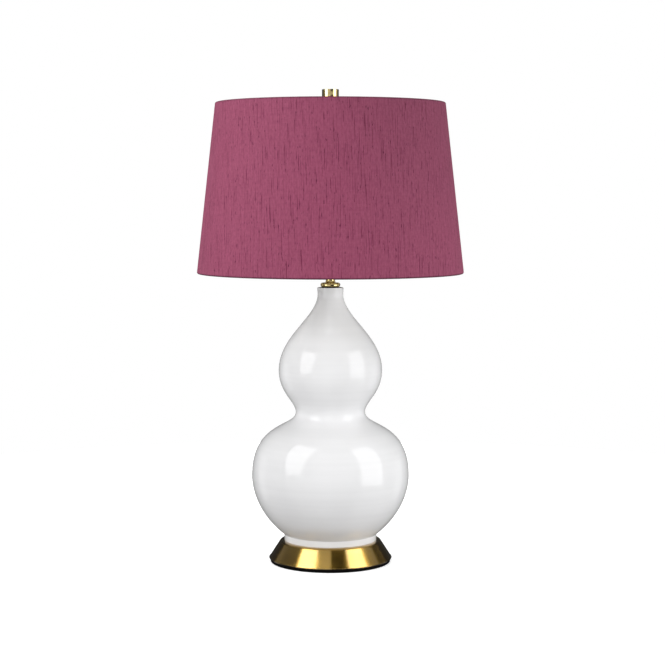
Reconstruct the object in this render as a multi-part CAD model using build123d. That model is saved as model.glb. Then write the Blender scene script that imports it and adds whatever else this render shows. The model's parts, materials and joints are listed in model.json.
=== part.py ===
from build123d import *
import math
import os

# Table lamp: a white glazed gourd on a brass base, under a tapered cloth shade that hangs
# from a wire harp. Sizes are in millimetres. The origin is the middle of the foot pad's
# underside, +Z points up and +Y to the rear, where the flex comes in.

# Fits and clearances
run_play = 0.05          # radial play of a piece that turns or slides in use
slip_play = 0.1          # radial play of pieces that are slid together once
loose_play = 0.3         # gap round a piece that passes through a rough hole

# Base: foot pad, closing plate, iron weight and spun brass shell
pad_t = 6.5
pad_gap = 0.6            # pad's edge to the inside of the brass rim
rim_drop = 1.0           # brass rim's lower edge below the top of the pad
plate_t = 1.5
plate_gap = 0.3          # plate's edge to the inside of the brass rim
tail_gap = 2.3           # rod's lower end above the closing plate
weight_t = 12.0
weight_gap = 4.5         # weight's edge inside the corner of the deck
base_rim_r = 94.8
base_deck_r = 76.5
shell_t = 1.2
shoulder_round = 3.0
rim_round = 0.5

# Screws that hold the closing plate to the weight's bosses
boss_count = 3
boss_circle_r = 50.0
boss_r = 7.0
plate_screw_r = 2.0
plate_screw_depth = 8.0  # thread inside the boss
plate_screw_head_r = 3.5
plate_screw_head_h = 2.0

# Threaded rod that clamps the whole stack, with its nut and washer
rod_r = 5.0
rod_bore_r = 3.5
rod_tail = 2.0           # thread that shows below the nut
nut_h = 6.0
nut_across_flats = 16.0
washer_t = 2.0
washer_r = 14.0

# Flex inlet in the base's rear wall
gland_rise = 9.0         # inlet's middle above the closing plate
gland_bore_r = 3.4
gland_hole_r = 5.0
gland_flange_r = 7.0
gland_outer_t = 2.0
gland_inner_t = 1.8
gland_round = 0.8

# Gourd: stations of its outline, with heights above its foot
gasket_t = 1.0
gasket_inset = 1.3       # gasket's edge behind the foot ring's edge
foot_r = 70.8
foot_h = 8.5
foot_ring_w = 11.0
foot_recess_h = 4.0
foot_round = 1.0
belly_r = 120.3
belly_h = 99.8
waist_r = 53.0
waist_h = 196.6
crown_r = 79.0
crown_h = 260.7
neck_r = 19.4
neck_h = 377.5
lip_r = 20.0
lip_h = 9.8              # lip above the narrowest place of the neck
lip_round = 1.0

# Gourd: how the outline bends at its stations
foot_angle = 38.0        # degrees above level, where the belly leaves the foot
low_bend_in = 0.495      # how far the turn of the belly's lower bend stays inside the belly
belly_bend = 147.8       # radius of curvature of the outline at the belly
waist_bend = 14.0
crown_bend = 69.8
neck_flare = 35.9        # length of the straight-up pull where the flare meets the neck
gourd_wall = 6.0
inset_steps = 8          # points that carry each stretch of the outline to the inner wall

# Gourd: holes at the floor and the neck
floor_hole_r = 8.0
bush_flange_r = 12.0
bush_flange_t = 2.0
neck_hole_r = 11.0

# Neck cap and the short tube above it
neck_gasket_t = 0.8
neck_gasket_r = 14.2
cap_r = 15.0
cap_h = 6.4
cap_round = 2.8
cap_collar_h = 3.5
cap_collar_round = 3.2
cap_spigot_h = 8.0
neck_tube_r = 7.0
neck_tube_h = 7.5

# Harp: saddle, wire loop, locking sleeves and top stud
saddle_t = 1.6
saddle_w = 12.7
harp_leg_x = 28.5
prong_collar_r = 3.4
prong_collar_h = 2.5
prong_h = 8.0            # bare pin above the collar
harp_wire_r = 2.0
harp_rise = 251.4        # saddle's top to the seat of the shade
harp_leg_h = 46.0        # straight wire above the prong
harp_bow_x = 57.0        # half of the loop's greatest width
harp_bow_low = 92.0      # where the loop is at full width, above the prong
harp_bow_drop = 34.0     # where it starts to close, below the top run
harp_top_x = 30.0
sleeve_h = 18.0
sleeve_wall = 1.4
stud_block_r = 5.5
stud_block_h = 9.0
stud_r = 3.175
stud_h = 14.0

# Lampholder, from the outside in
holder_cap_r = 17.8
holder_cap_h = 21.0
holder_cap_t = 0.8
holder_boss_r = 9.0
holder_boss_h = 8.0
holder_boss_edge_h = 5.0
holder_cone_h = 9.0      # slanted part of the cap above its boss
holder_gap = 0.2         # between the cap, shell and liner
holder_shell_t = 0.6
holder_shell_h = 43.0
holder_liner_t = 0.7
holder_liner_drop = 1.5  # liner's top below the rim of the shell
core_gap = 0.3
core_h = 15.0
core_wire_r = 6.0        # wire space in the core's foot
core_wire_h = 5.0
core_foot_wall = 3.6
set_screw_r = 1.5
set_screw_h = 4.5

# Terminals and contacts inside the lampholder
terminal_flat_x = 11.5
terminal_flat_h = 7.0
terminal_head_r = 2.6
terminal_head_h = 2.0
terminal_shank_r = 1.5
terminal_shank_h = 5.0
screw_shell_bore_r = 13.5
screw_shell_t = 0.4
screw_shell_h = 26.0
screw_shell_floor_r = 8.0
contact_r = 4.0
contact_t = 0.6
contact_tip_r = 2.5
contact_rise = 2.0       # contact's tip above the core

# Turn switch in the side of the lampholder
spindle_r = 2.0
spindle_rise = 9.5       # spindle's axis above the core's underside
spindle_inner_y = 5.0
spindle_hole_r = 2.6
knob_gap = 8.0           # knob clear of the shell
knob_r = 6.0
knob_h = 12.0
knob_wing_t = 4.0        # thickness of the finger grip
knob_wing_h = 8.0
knob_cover_t = 2.0       # knob's end over the spindle

# Bulb: heights above the tip of its contact
bulb_contact_r = 4.2
bulb_contact_h = 1.2
bulb_insulator_r = 12.4
bulb_insulator_h = 2.6
bulb_cap_r = 13.1
bulb_cap_t = 0.4
bulb_cap_h = 22.2
bulb_cap_lip_w = 2.1
bulb_neck_play = 0.2
bulb_neck_h = 6.0        # glass neck inside the cap
bulb_neck_top = 30.0
bulb_r = 30.0
bulb_r_height = 77.0
bulb_top = 108.0
bulb_glass_t = 0.8
bulb_neck_pull = 18.0    # how long the outline stays upright above the neck
bulb_side_pull = 22.0    # and on each side of its widest place
bulb_crown_pull = 16.0   # and how long it stays level at its top

# Shade
shade_bottom_r = 203.0
shade_top_r = 174.1
shade_h = 258.2
shade_rise = 8.7         # shade's top edge above the spider's seat
cloth_t = 0.6
layer_gap = 0.15         # between cloth, lining and hem
lining_t = 0.4
lining_margin = 4.5      # lining's edges short of the cloth's edges
ring_wire_r = 1.5
ring_play = 0.3          # between a ring's wire and the cloth rolled round it
hem_w = 9.0
spider_washer_r = 11.0
spider_washer_t = 3.2
spider_arm_r = 1.5
spider_arm_count = 3
spider_first_arm = 90.0  # degrees, one arm to the rear

# Finial
finial_neck_r = 6.0
finial_neck_h = 13.0
finial_head_r = 12.7
finial_h = 25.1
finial_round = 0.4
finial_bore_spare = 1.5  # bore's end above the stud

# Levels of the stack, from the table up
plate_low = pad_t
plate_top = plate_low + plate_t
rim_z = pad_t - rim_drop
rod_low = plate_top + tail_gap
nut_low = rod_low + rod_tail
washer_low = nut_low + nut_h
weight_low = washer_low + washer_t
deck_low = weight_low + weight_t
deck_z = deck_low + shell_t
gourd_z = deck_z + gasket_t
gourd_top = gourd_z + neck_h + lip_h
cap_z = gourd_top + neck_gasket_t
cap_top = cap_z + cap_h + cap_collar_h
saddle_z = cap_top + neck_tube_h
saddle_top = saddle_z + saddle_t
seat_z = saddle_top + harp_rise
finial_z = seat_z + spider_washer_t
shade_top_z = seat_z + shade_rise
shade_bottom_z = shade_top_z - shade_h
rod_top = saddle_top + holder_boss_h
rod_pass_r = rod_r + slip_play


def lathe(*corners):
    """Solid of revolution about the lamp's axis, from (radius, height) corners."""
    return revolve(Plane.XZ * make_face(Polyline(*corners, close=True)), Axis.Z)


def rounded_lathe(*corners):
    """The same from (radius, height, rounding) corners."""
    points = [(radius, height) for radius, height, rounding in corners]
    roundings = [rounding for radius, height, rounding in corners]
    outline = FilletPolyline(*points, radius=roundings, close=True)
    return revolve(Plane.XZ * make_face(outline), Axis.Z)


def tube(outer_r, inner_r, low, high):
    """Upright tube or, with no inner radius, a disc."""
    return lathe((inner_r, low), (outer_r, low), (outer_r, high), (inner_r, high))


def rod_between(start, end, radius):
    """Round bar from one point to another."""
    way = Vector(*end) - Vector(*start)
    seat = Plane(origin=start, z_dir=way)
    bar = Cylinder(radius, way.length, align=(Align.CENTER, Align.CENTER, Align.MIN))
    return seat.location * bar


# Base

def cone_r(height):
    """Radius of the brass shell's slanted outside at a height."""
    return base_rim_r - (height - rim_z) * (base_rim_r - base_deck_r) / (deck_z - rim_z)


def inner_cone_r(height):
    """Radius of the shell's slanted inside at a height."""
    slant = math.hypot(deck_z - rim_z, base_rim_r - base_deck_r)
    return cone_r(height) - shell_t * slant / (deck_z - rim_z)


def gland_seat():
    """Plane on the shell's rear wall, facing straight out of it."""
    height = plate_top + gland_rise
    out = Vector(0, deck_z - rim_z, base_rim_r - base_deck_r)
    return Plane(origin=(0, cone_r(height), height), x_dir=(1, 0, 0), z_dir=out)


def boss_places():
    """Axes of the weight's bosses, one of them at the front."""
    angles = [math.radians(-90 + 360 * i / boss_count) for i in range(boss_count)]
    return [(boss_circle_r * math.cos(a), boss_circle_r * math.sin(a)) for a in angles]


def make_base_shell():
    shell = rounded_lathe(
        (rod_pass_r, deck_low, 0),
        (inner_cone_r(deck_low), deck_low, shoulder_round - shell_t),
        (inner_cone_r(rim_z), rim_z, rim_round),
        (base_rim_r, rim_z, rim_round),
        (base_deck_r, deck_z, shoulder_round),
        (rod_pass_r, deck_z, 0),
    )
    drill = Cylinder(gland_hole_r, 2 * (gland_outer_t + gland_inner_t + shell_t))
    return shell - gland_seat().location * drill


def make_cord_grommet(shell):
    inner_end = -(shell_t + gland_inner_t)
    spool = rounded_lathe(
        (gland_bore_r, inner_end, 0),
        (gland_flange_r, inner_end, gland_round),
        (gland_flange_r, gland_outer_t, gland_round),
        (gland_bore_r, gland_outer_t, 0),
    )
    return gland_seat().location * spool - shell


def make_base_weight():
    disc = tube(base_deck_r - weight_gap, rod_pass_r, weight_low, deck_low)
    for x, y in boss_places():
        disc += Pos(x, y, 0) * tube(boss_r, 0, plate_top, weight_low)
    for x, y in boss_places():
        disc -= Pos(x, y, 0) * tube(plate_screw_r + run_play, 0, plate_top, plate_top + plate_screw_depth)
    return disc


def make_closing_plate():
    plate = tube(inner_cone_r(plate_top) - plate_gap, 0, plate_low, plate_top)
    for x, y in boss_places():
        plate -= Pos(x, y, 0) * tube(plate_screw_r + loose_play, 0, plate_low, plate_top)
    return plate


def make_plate_screws():
    screw = lathe(
        (0, plate_low - plate_screw_head_h),
        (plate_screw_head_r, plate_low - plate_screw_head_h),
        (plate_screw_head_r, plate_low),
        (plate_screw_r, plate_low),
        (plate_screw_r, plate_top + plate_screw_depth),
        (0, plate_top + plate_screw_depth),
    )
    return Compound(children=[Pos(x, y, 0) * screw for x, y in boss_places()])


def make_foot_pad():
    pad = tube(inner_cone_r(pad_t) - pad_gap, 0, 0, pad_t)
    pocket_low = pad_t - plate_screw_head_h - loose_play
    for x, y in boss_places():
        pad -= Pos(x, y, 0) * tube(plate_screw_head_r + loose_play, 0, pocket_low, pad_t)
    return pad


def make_rod_nut():
    hexagon = RegularPolygon(nut_across_flats / 2, 6, major_radius=False)
    nut = Pos(0, 0, nut_low) * extrude(hexagon, nut_h)
    return nut - tube(rod_r + run_play, 0, nut_low, washer_low)


# Gourd and its clamping rod

def pull(bend, reach):
    """Handle that gives an upright outline a radius of curvature, for a reach across."""
    return math.sqrt(2 / 3 * bend * reach)


def gourd_outline():
    """Outside of the gourd from the foot ring up to the lip, as Bezier stretches."""
    foot_z = gourd_z + foot_h
    belly_z = gourd_z + belly_h
    waist_z = gourd_z + waist_h
    crown_z = gourd_z + crown_h
    neck_z = gourd_z + neck_h
    run_out = belly_r - low_bend_in - foot_r
    low_bend = (foot_r + run_out, foot_z + run_out * math.tan(math.radians(foot_angle)))
    belly_in = belly_r - waist_r
    crown_in = crown_r - waist_r
    return [
        Bezier(
            (foot_r, foot_z),
            low_bend,
            (belly_r, belly_z - pull(belly_bend, low_bend_in)),
            (belly_r, belly_z),
        ),
        Bezier(
            (belly_r, belly_z),
            (belly_r, belly_z + pull(belly_bend, belly_in)),
            (waist_r, waist_z - pull(waist_bend, belly_in)),
            (waist_r, waist_z),
        ),
        Bezier(
            (waist_r, waist_z),
            (waist_r, waist_z + pull(waist_bend, crown_in)),
            (crown_r, crown_z - pull(crown_bend, crown_in)),
            (crown_r, crown_z),
        ),
        Bezier(
            (crown_r, crown_z),
            (crown_r, crown_z + pull(crown_bend, crown_r - neck_r)),
            (neck_r, neck_z - neck_flare),
            (neck_r, neck_z),
        ),
        Bezier((neck_r, neck_z), (neck_r, (neck_z + gourd_top) / 2), (lip_r, gourd_top)),
    ]


def inset(curve, gap, steps):
    """Points beside an upward outline, a wall's thickness nearer the axis."""
    points = []
    for step in range(steps + 1):
        way = curve % (step / steps)
        points.append(curve @ (step / steps) + Vector(-way.Y, way.X) * gap)
    return points


def make_gourd_body():
    outside = gourd_outline()
    neck_z = gourd_z + neck_h
    inner = []
    for stretch in outside[:-1]:
        inner += inset(stretch, gourd_wall, inset_steps)[:-1]
    inner.append(Vector(neck_r - gourd_wall, neck_z))
    recess_r = foot_r - foot_ring_w
    recess_z = gourd_z + foot_recess_h
    foot = Polyline(
        (floor_hole_r, recess_z),
        (recess_r, recess_z),
        (recess_r, gourd_z),
        (foot_r, gourd_z),
        outside[0] @ 0,
    )
    mouth = Polyline(outside[-1] @ 1, (neck_hole_r, gourd_top), (neck_hole_r, neck_z), inner[-1])
    floor = Polyline(inner[0], (floor_hole_r, inner[0].Y), (floor_hole_r, recess_z))
    outline = make_face([foot, *outside, mouth, Spline(*inner), floor])
    body = revolve(Plane.XZ * outline, Axis.Z)
    rims = body.edges().filter_by(GeomType.CIRCLE).filter_by(lambda e: e.radius > neck_hole_r)
    body = fillet(rims.filter_by(lambda e: math.isclose(e.center().Z, gourd_top)), lip_round)
    rims = body.edges().filter_by(GeomType.CIRCLE).filter_by(lambda e: math.isclose(e.radius, foot_r))
    return fillet(rims.filter_by(lambda e: math.isclose(e.center().Z, gourd_z)), foot_round)


def make_foot_gasket():
    outer_r = foot_r - gasket_inset
    return tube(outer_r, foot_r - foot_ring_w + gasket_inset, deck_z, gourd_z)


def make_floor_bush():
    recess_z = gourd_z + foot_recess_h
    floor_top = (gourd_outline()[0] @ 0).Y
    return lathe(
        (rod_pass_r, recess_z - bush_flange_t),
        (bush_flange_r, recess_z - bush_flange_t),
        (bush_flange_r, recess_z),
        (floor_hole_r - slip_play, recess_z),
        (floor_hole_r - slip_play, floor_top),
        (rod_pass_r, floor_top),
    )


def make_vase_cap():
    return rounded_lathe(
        (rod_pass_r, cap_z - cap_spigot_h, 0),
        (neck_hole_r - slip_play, cap_z - cap_spigot_h, 0),
        (neck_hole_r - slip_play, cap_z, 0),
        (cap_r, cap_z, cap_round),
        (cap_r, cap_z + cap_h, cap_round),
        (neck_tube_r, cap_z + cap_h, cap_collar_round),
        (neck_tube_r, cap_top, 0),
        (rod_pass_r, cap_top, 0),
    )


# Harp

def corner_rounds(points):
    """For each corner of a path, the largest bend that its two runs leave room for."""
    runs = [Vector(*b) - Vector(*a) for a, b in zip(points, points[1:])]
    rounds = []
    for before, after in zip(runs, runs[1:]):
        half_turn = math.radians(before.get_angle(after)) / 2
        rounds.append(0.45 * min(before.length, after.length) / math.tan(half_turn))
    return rounds


prong_top = saddle_top + prong_collar_h + prong_h
wire_top_z = seat_z - stud_block_h / 2


def make_harp_saddle():
    saddle = Pos(0, 0, saddle_z + saddle_t / 2) * Box(2 * harp_leg_x, saddle_w, saddle_t)
    for x in (-harp_leg_x, harp_leg_x):
        saddle += Pos(x, 0, 0) * tube(saddle_w / 2, 0, saddle_z, saddle_top)
    for x in (-harp_leg_x, harp_leg_x):
        saddle += Pos(x, 0, 0) * lathe(
            (0, saddle_z),
            (prong_collar_r, saddle_z),
            (prong_collar_r, saddle_top + prong_collar_h),
            (harp_wire_r, saddle_top + prong_collar_h),
            (harp_wire_r, prong_top),
            (0, prong_top),
        )
    return saddle - tube(rod_pass_r, 0, saddle_z, saddle_top)


def make_harp_loop():
    right = [
        (harp_leg_x, 0, prong_top),
        (harp_leg_x, 0, prong_top + harp_leg_h),
        (harp_bow_x, 0, prong_top + harp_bow_low),
        (harp_bow_x, 0, wire_top_z - harp_bow_drop),
        (harp_top_x, 0, wire_top_z),
    ]
    left = [(-x, y, z) for x, y, z in reversed(right)]
    path = FilletPolyline(*right, *left, radius=corner_rounds(right + left))
    section = Plane(origin=path @ 0, z_dir=path % 0) * Circle(harp_wire_r)
    return sweep(section, path=path)


def make_harp_sleeve(x):
    low = saddle_top + prong_collar_h
    bore_r = harp_wire_r + run_play
    return Pos(x, 0, 0) * tube(bore_r + sleeve_wall, bore_r, low, low + sleeve_h)


def make_harp_stud():
    block_low = seat_z - stud_block_h
    stud = lathe(
        (0, block_low),
        (stud_block_r, block_low),
        (stud_block_r, seat_z),
        (stud_r, seat_z),
        (stud_r, seat_z + stud_h),
        (0, seat_z + stud_h),
    )
    reach = 2 * stud_block_r
    eye = rod_between((-reach, 0, wire_top_z), (reach, 0, wire_top_z), harp_wire_r + run_play)
    return stud - eye


# Lampholder

holder_cap_bore = holder_cap_r - holder_cap_t
holder_shell_r = holder_cap_bore - holder_gap
holder_liner_r = holder_shell_r - holder_shell_t - holder_gap
core_r = holder_liner_r - holder_liner_t - core_gap
cap_cone_top = saddle_top + holder_boss_edge_h + holder_cone_h
holder_shell_low = cap_cone_top + holder_cap_t
holder_shell_top = holder_shell_low + holder_shell_h
core_low = holder_shell_low + holder_gap
core_top = core_low + core_h
spindle_z = core_low + spindle_rise
knob_y = -(holder_cap_r + knob_gap)


def side_drill(radius, inner_y):
    """Round cut towards the front at the switch's height, from an inner end outwards."""
    return rod_between((0, -inner_y, spindle_z), (0, -2 * holder_cap_r, spindle_z), radius)


def make_holder_cap():
    cap = lathe(
        (rod_r + run_play, saddle_top),
        (holder_boss_r, saddle_top),
        (holder_boss_r, saddle_top + holder_boss_edge_h),
        (holder_cap_r, cap_cone_top),
        (holder_cap_r, saddle_top + holder_cap_h),
        (holder_cap_bore, saddle_top + holder_cap_h),
        (holder_cap_bore, cap_cone_top + holder_cap_t / 2),
        (holder_boss_r + holder_cap_t, saddle_top + holder_boss_h),
        (rod_r + run_play, saddle_top + holder_boss_h),
    )
    screw_z = saddle_top + holder_boss_edge_h / 2
    hole = rod_between((rod_r, 0, screw_z), (2 * holder_boss_r, 0, screw_z), set_screw_r + run_play)
    return cap - hole


def make_cap_set_screw():
    screw_z = saddle_top + holder_boss_edge_h / 2
    start_x = rod_r + run_play
    return rod_between((start_x, 0, screw_z), (start_x + set_screw_h, 0, screw_z), set_screw_r)


def make_holder_shell():
    shell = tube(holder_shell_r, holder_shell_r - holder_shell_t, holder_shell_low, holder_shell_top)
    return shell - side_drill(spindle_hole_r, core_r)


def make_holder_liner():
    top = holder_shell_top - holder_liner_drop
    liner = tube(holder_liner_r, holder_liner_r - holder_liner_t, core_low, top)
    return liner - side_drill(spindle_hole_r, core_r / 2)


def make_holder_core():
    foot_z = saddle_top + holder_boss_h
    core = lathe(
        (core_wire_r, foot_z),
        (core_wire_r + core_foot_wall, foot_z),
        (core_wire_r + core_foot_wall, core_low),
        (core_r, core_low),
        (core_r, core_top),
        (0, core_top),
        (0, core_low + core_wire_h),
        (core_wire_r, core_low + core_wire_h),
    )
    flat_z = core_low + terminal_flat_h / 2
    screw_z = core_low + terminal_flat_h / 2
    for side in (-1, 1):
        flat_x = side * (terminal_flat_x + core_r / 2)
        core -= Pos(flat_x, 0, flat_z) * Box(core_r, 2 * core_r, terminal_flat_h)
        start = (side * (terminal_flat_x - terminal_shank_h), 0, screw_z)
        core -= rod_between(start, (side * core_r, 0, screw_z), terminal_shank_r + run_play)
    return core - side_drill(spindle_r + run_play, spindle_inner_y)


def make_terminal_screws():
    screw_z = core_low + terminal_flat_h / 2
    screws = []
    for side in (-1, 1):
        inner_x = side * (terminal_flat_x - terminal_shank_h)
        face_x = side * terminal_flat_x
        head_x = side * (terminal_flat_x + terminal_head_h)
        shank = rod_between((inner_x, 0, screw_z), (face_x, 0, screw_z), terminal_shank_r)
        head = rod_between((face_x, 0, screw_z), (head_x, 0, screw_z), terminal_head_r)
        screws.append(shank + head)
    return Compound(children=screws)


def make_screw_shell():
    outer_r = screw_shell_bore_r + screw_shell_t
    return lathe(
        (screw_shell_floor_r, core_top),
        (outer_r, core_top),
        (outer_r, core_top + screw_shell_h),
        (screw_shell_bore_r, core_top + screw_shell_h),
        (screw_shell_bore_r, core_top + screw_shell_t),
        (screw_shell_floor_r, core_top + screw_shell_t),
    )


def make_centre_contact():
    return lathe(
        (0, core_top),
        (contact_r, core_top),
        (contact_r, core_top + contact_t),
        (contact_tip_r, core_top + contact_rise),
        (0, core_top + contact_rise),
    )


def make_switch_spindle():
    end_y = knob_y - knob_h + knob_cover_t
    start = (0, -spindle_inner_y - run_play, spindle_z)
    return rod_between(start, (0, end_y, spindle_z), spindle_r)


def make_switch_knob():
    knob = rod_between((0, knob_y, spindle_z), (0, knob_y - knob_h, spindle_z), knob_r)
    wing_y = knob_y - knob_h + knob_wing_h / 2
    for side in (-1, 1):
        cut_x = side * (knob_wing_t / 2 + knob_r)
        knob -= Pos(cut_x, wing_y, spindle_z) * Box(2 * knob_r, knob_wing_h, 2 * knob_r)
    end_y = knob_y - knob_h + knob_cover_t
    bore = rod_between((0, knob_y, spindle_z), (0, end_y, spindle_z), spindle_r + run_play / 2)
    return knob - bore


# Bulb

bulb_z = core_top + contact_rise
bulb_insulator_z = bulb_z + bulb_contact_h
bulb_cap_z = bulb_insulator_z + bulb_insulator_h
bulb_cap_top = bulb_cap_z + bulb_cap_h


def make_bulb_cap():
    inner_r = bulb_cap_r - bulb_cap_t
    return lathe(
        (bulb_cap_r - bulb_cap_lip_w, bulb_cap_z),
        (bulb_cap_r, bulb_cap_z),
        (bulb_cap_r, bulb_cap_top),
        (inner_r, bulb_cap_top),
        (inner_r, bulb_cap_z + bulb_cap_t),
        (bulb_cap_r - bulb_cap_lip_w, bulb_cap_z + bulb_cap_t),
    )


def make_bulb_insulator():
    return lathe(
        (0, bulb_insulator_z),
        (bulb_contact_r, bulb_insulator_z),
        (bulb_insulator_r, bulb_cap_z),
        (0, bulb_cap_z),
    )


def bulb_outline(neck_r, widest_r, top):
    """Glass from its neck to its top, as two Bezier stretches."""
    widest_z = bulb_z + bulb_r_height
    neck_z = bulb_z + bulb_neck_top
    return [
        Bezier(
            (neck_r, neck_z),
            (neck_r, neck_z + bulb_neck_pull),
            (widest_r, widest_z - bulb_side_pull),
            (widest_r, widest_z),
        ),
        Bezier(
            (widest_r, widest_z),
            (widest_r, widest_z + (top - widest_z) / 2),
            (bulb_crown_pull, top),
            (0, top),
        ),
    ]


def make_bulb_envelope():
    neck_r = bulb_cap_r - bulb_cap_t - bulb_neck_play
    neck_low = bulb_cap_top - bulb_neck_h
    top = bulb_z + bulb_top
    outer = bulb_outline(neck_r, bulb_r, top)
    inner = bulb_outline(neck_r - bulb_glass_t, bulb_r - bulb_glass_t, top - bulb_glass_t)
    bottom = Polyline(inner[0] @ 0, (neck_r - bulb_glass_t, neck_low), (neck_r, neck_low), outer[0] @ 0)
    crown = Line(outer[1] @ 1, inner[1] @ 1)
    return revolve(Plane.XZ * make_face([bottom, *outer, crown, *inner]), Axis.Z)


# Shade

shade_slant = math.hypot(shade_h, shade_bottom_r - shade_top_r)
roll_r = ring_wire_r + ring_play + cloth_t


def shade_point(along, inward):
    """(radius, height) a way up the slant and a way in from the cloth's outside."""
    lean = (shade_top_r - shade_bottom_r) / shade_slant
    rise = shade_h / shade_slant
    return (
        shade_bottom_r + along * lean - inward * rise,
        shade_bottom_z + along * rise + inward * lean,
    )


def hem_edges(end_along, up):
    """Outline of the cloth's hem: it rolls round the ring and lies back on the lining."""
    middle_r = roll_r - cloth_t / 2
    tail_in = cloth_t + 2 * layer_gap + lining_t + cloth_t / 2
    across = hem_w - roll_r
    drop = tail_in - roll_r
    leave = math.atan2(drop, across) + math.acos(middle_r / math.hypot(across, drop))
    tail_length = math.sqrt(across**2 + drop**2 - middle_r**2)

    def spot(radius, angle, onward=0.0):
        along = roll_r + radius * math.cos(angle) + onward * math.sin(leave)
        inward = roll_r + radius * math.sin(angle) - onward * math.cos(leave)
        return shade_point(end_along + up * along, inward)

    skin = -math.pi / 2
    middle = (skin - 2 * math.pi + leave) / 2
    inside_r = roll_r - cloth_t
    return [
        ThreePointArc(spot(roll_r, skin), spot(roll_r, middle), spot(roll_r, leave)),
        Polyline(
            spot(roll_r, leave),
            spot(roll_r, leave, tail_length),
            spot(inside_r, leave, tail_length),
            spot(inside_r, leave),
        ),
        ThreePointArc(spot(inside_r, leave), spot(inside_r, middle), spot(inside_r, skin)),
    ]


def ring_place(end_along, up):
    """(radius, height) of the middle of a ring's wire."""
    return shade_point(end_along + up * roll_r, roll_r)


def spider_arms(radius):
    """Bars from the spider's washer out to the top ring."""
    ring_r, ring_z = ring_place(shade_slant, -1)
    start_r = spider_washer_r / 2
    arms = []
    for i in range(spider_arm_count):
        angle = math.radians(spider_first_arm + 360 * i / spider_arm_count)
        start = (start_r * math.cos(angle), start_r * math.sin(angle), seat_z + spider_washer_t / 2)
        end = (ring_r * math.cos(angle), ring_r * math.sin(angle), ring_z)
        arms.append(rod_between(start, end, radius))
    return arms


def make_shade_fabric():
    bottom = hem_edges(0, 1)
    top = hem_edges(shade_slant, -1)
    outside = Line(bottom[0] @ 0, top[0] @ 0)
    inside = Line(bottom[-1] @ 1, top[-1] @ 1)
    cloth = revolve(Plane.XZ * make_face([outside, *top, inside, *bottom]), Axis.Z)
    for arm in spider_arms(spider_arm_r + loose_play):
        cloth -= arm
    return cloth


def make_shade_lining():
    outer = cloth_t + layer_gap
    inner = outer + lining_t
    return lathe(
        shade_point(lining_margin, outer),
        shade_point(shade_slant - lining_margin, outer),
        shade_point(shade_slant - lining_margin, inner),
        shade_point(lining_margin, inner),
    )


def make_ring(end_along, up):
    ring_r, ring_z = ring_place(end_along, up)
    return Pos(0, 0, ring_z) * Torus(ring_r, ring_wire_r)


def make_shade_top_frame():
    frame = make_ring(shade_slant, -1)
    frame += tube(spider_washer_r, 0, seat_z, finial_z)
    for arm in spider_arms(spider_arm_r):
        frame += arm
    return frame - tube(stud_r + loose_play, 0, seat_z, finial_z)


def make_finial():
    neck_top = finial_z + finial_neck_h
    top = finial_z + finial_h
    bore_top = seat_z + stud_h + finial_bore_spare
    return rounded_lathe(
        (stud_r + run_play, finial_z, 0),
        (finial_neck_r, finial_z, 0),
        (finial_neck_r, neck_top, 0),
        (finial_head_r, neck_top, finial_round),
        (finial_head_r, top, finial_round),
        (0, top, 0),
        (0, bore_top, 0),
        (stud_r + run_play, bore_top, 0),
    )


base_shell = make_base_shell()

pieces = {
    "foot_pad": make_foot_pad(),
    "closing_plate": make_closing_plate(),
    "plate_screws": make_plate_screws(),
    "base_weight": make_base_weight(),
    "base_shell": base_shell,
    "cord_grommet": make_cord_grommet(base_shell),
    "rod_nut": make_rod_nut(),
    "rod_washer": tube(washer_r, rod_pass_r, washer_low, weight_low),
    "threaded_rod": tube(rod_r, rod_bore_r, rod_low, rod_top),
    "foot_gasket": make_foot_gasket(),
    "gourd_body": make_gourd_body(),
    "floor_bush": make_floor_bush(),
    "neck_gasket": tube(neck_gasket_r, neck_hole_r, gourd_top, cap_z),
    "vase_cap": make_vase_cap(),
    "neck_tube": tube(neck_tube_r, rod_pass_r, cap_top, saddle_z),
    "harp_saddle": make_harp_saddle(),
    "harp_loop": make_harp_loop(),
    "harp_stud": make_harp_stud(),
    "harp_sleeve_left": make_harp_sleeve(-harp_leg_x),
    "harp_sleeve_right": make_harp_sleeve(harp_leg_x),
    "holder_cap": make_holder_cap(),
    "cap_set_screw": make_cap_set_screw(),
    "holder_shell": make_holder_shell(),
    "holder_liner": make_holder_liner(),
    "holder_core": make_holder_core(),
    "terminal_screws": make_terminal_screws(),
    "screw_shell": make_screw_shell(),
    "centre_contact": make_centre_contact(),
    "switch_spindle": make_switch_spindle(),
    "switch_knob": make_switch_knob(),
    "bulb_contact": tube(bulb_contact_r, 0, bulb_z, bulb_insulator_z),
    "bulb_insulator": make_bulb_insulator(),
    "bulb_cap": make_bulb_cap(),
    "bulb_envelope": make_bulb_envelope(),
    "shade_fabric": make_shade_fabric(),
    "shade_lining": make_shade_lining(),
    "shade_top_frame": make_shade_top_frame(),
    "shade_bottom_ring": make_ring(0, 1),
    "finial": make_finial(),
}

os.makedirs("parts", exist_ok=True)
for name, piece in pieces.items():
    export_step(piece, f"parts/{name}.step")
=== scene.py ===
# %% [markdown]
# A table lamp: a white glazed gourd on a spun brass base, under a tapered silk shade that hangs
# from a wire harp. The construction is already modelled and packed. Here every piece that shows
# gets a fine mesh and a real finish, in the place that the construction gives it. So the first
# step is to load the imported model, which is the frame that nothing here moves or resizes.

# %% Load the frame
import json
import math

import bmesh
import bpy
from mathutils import Matrix, Vector


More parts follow.
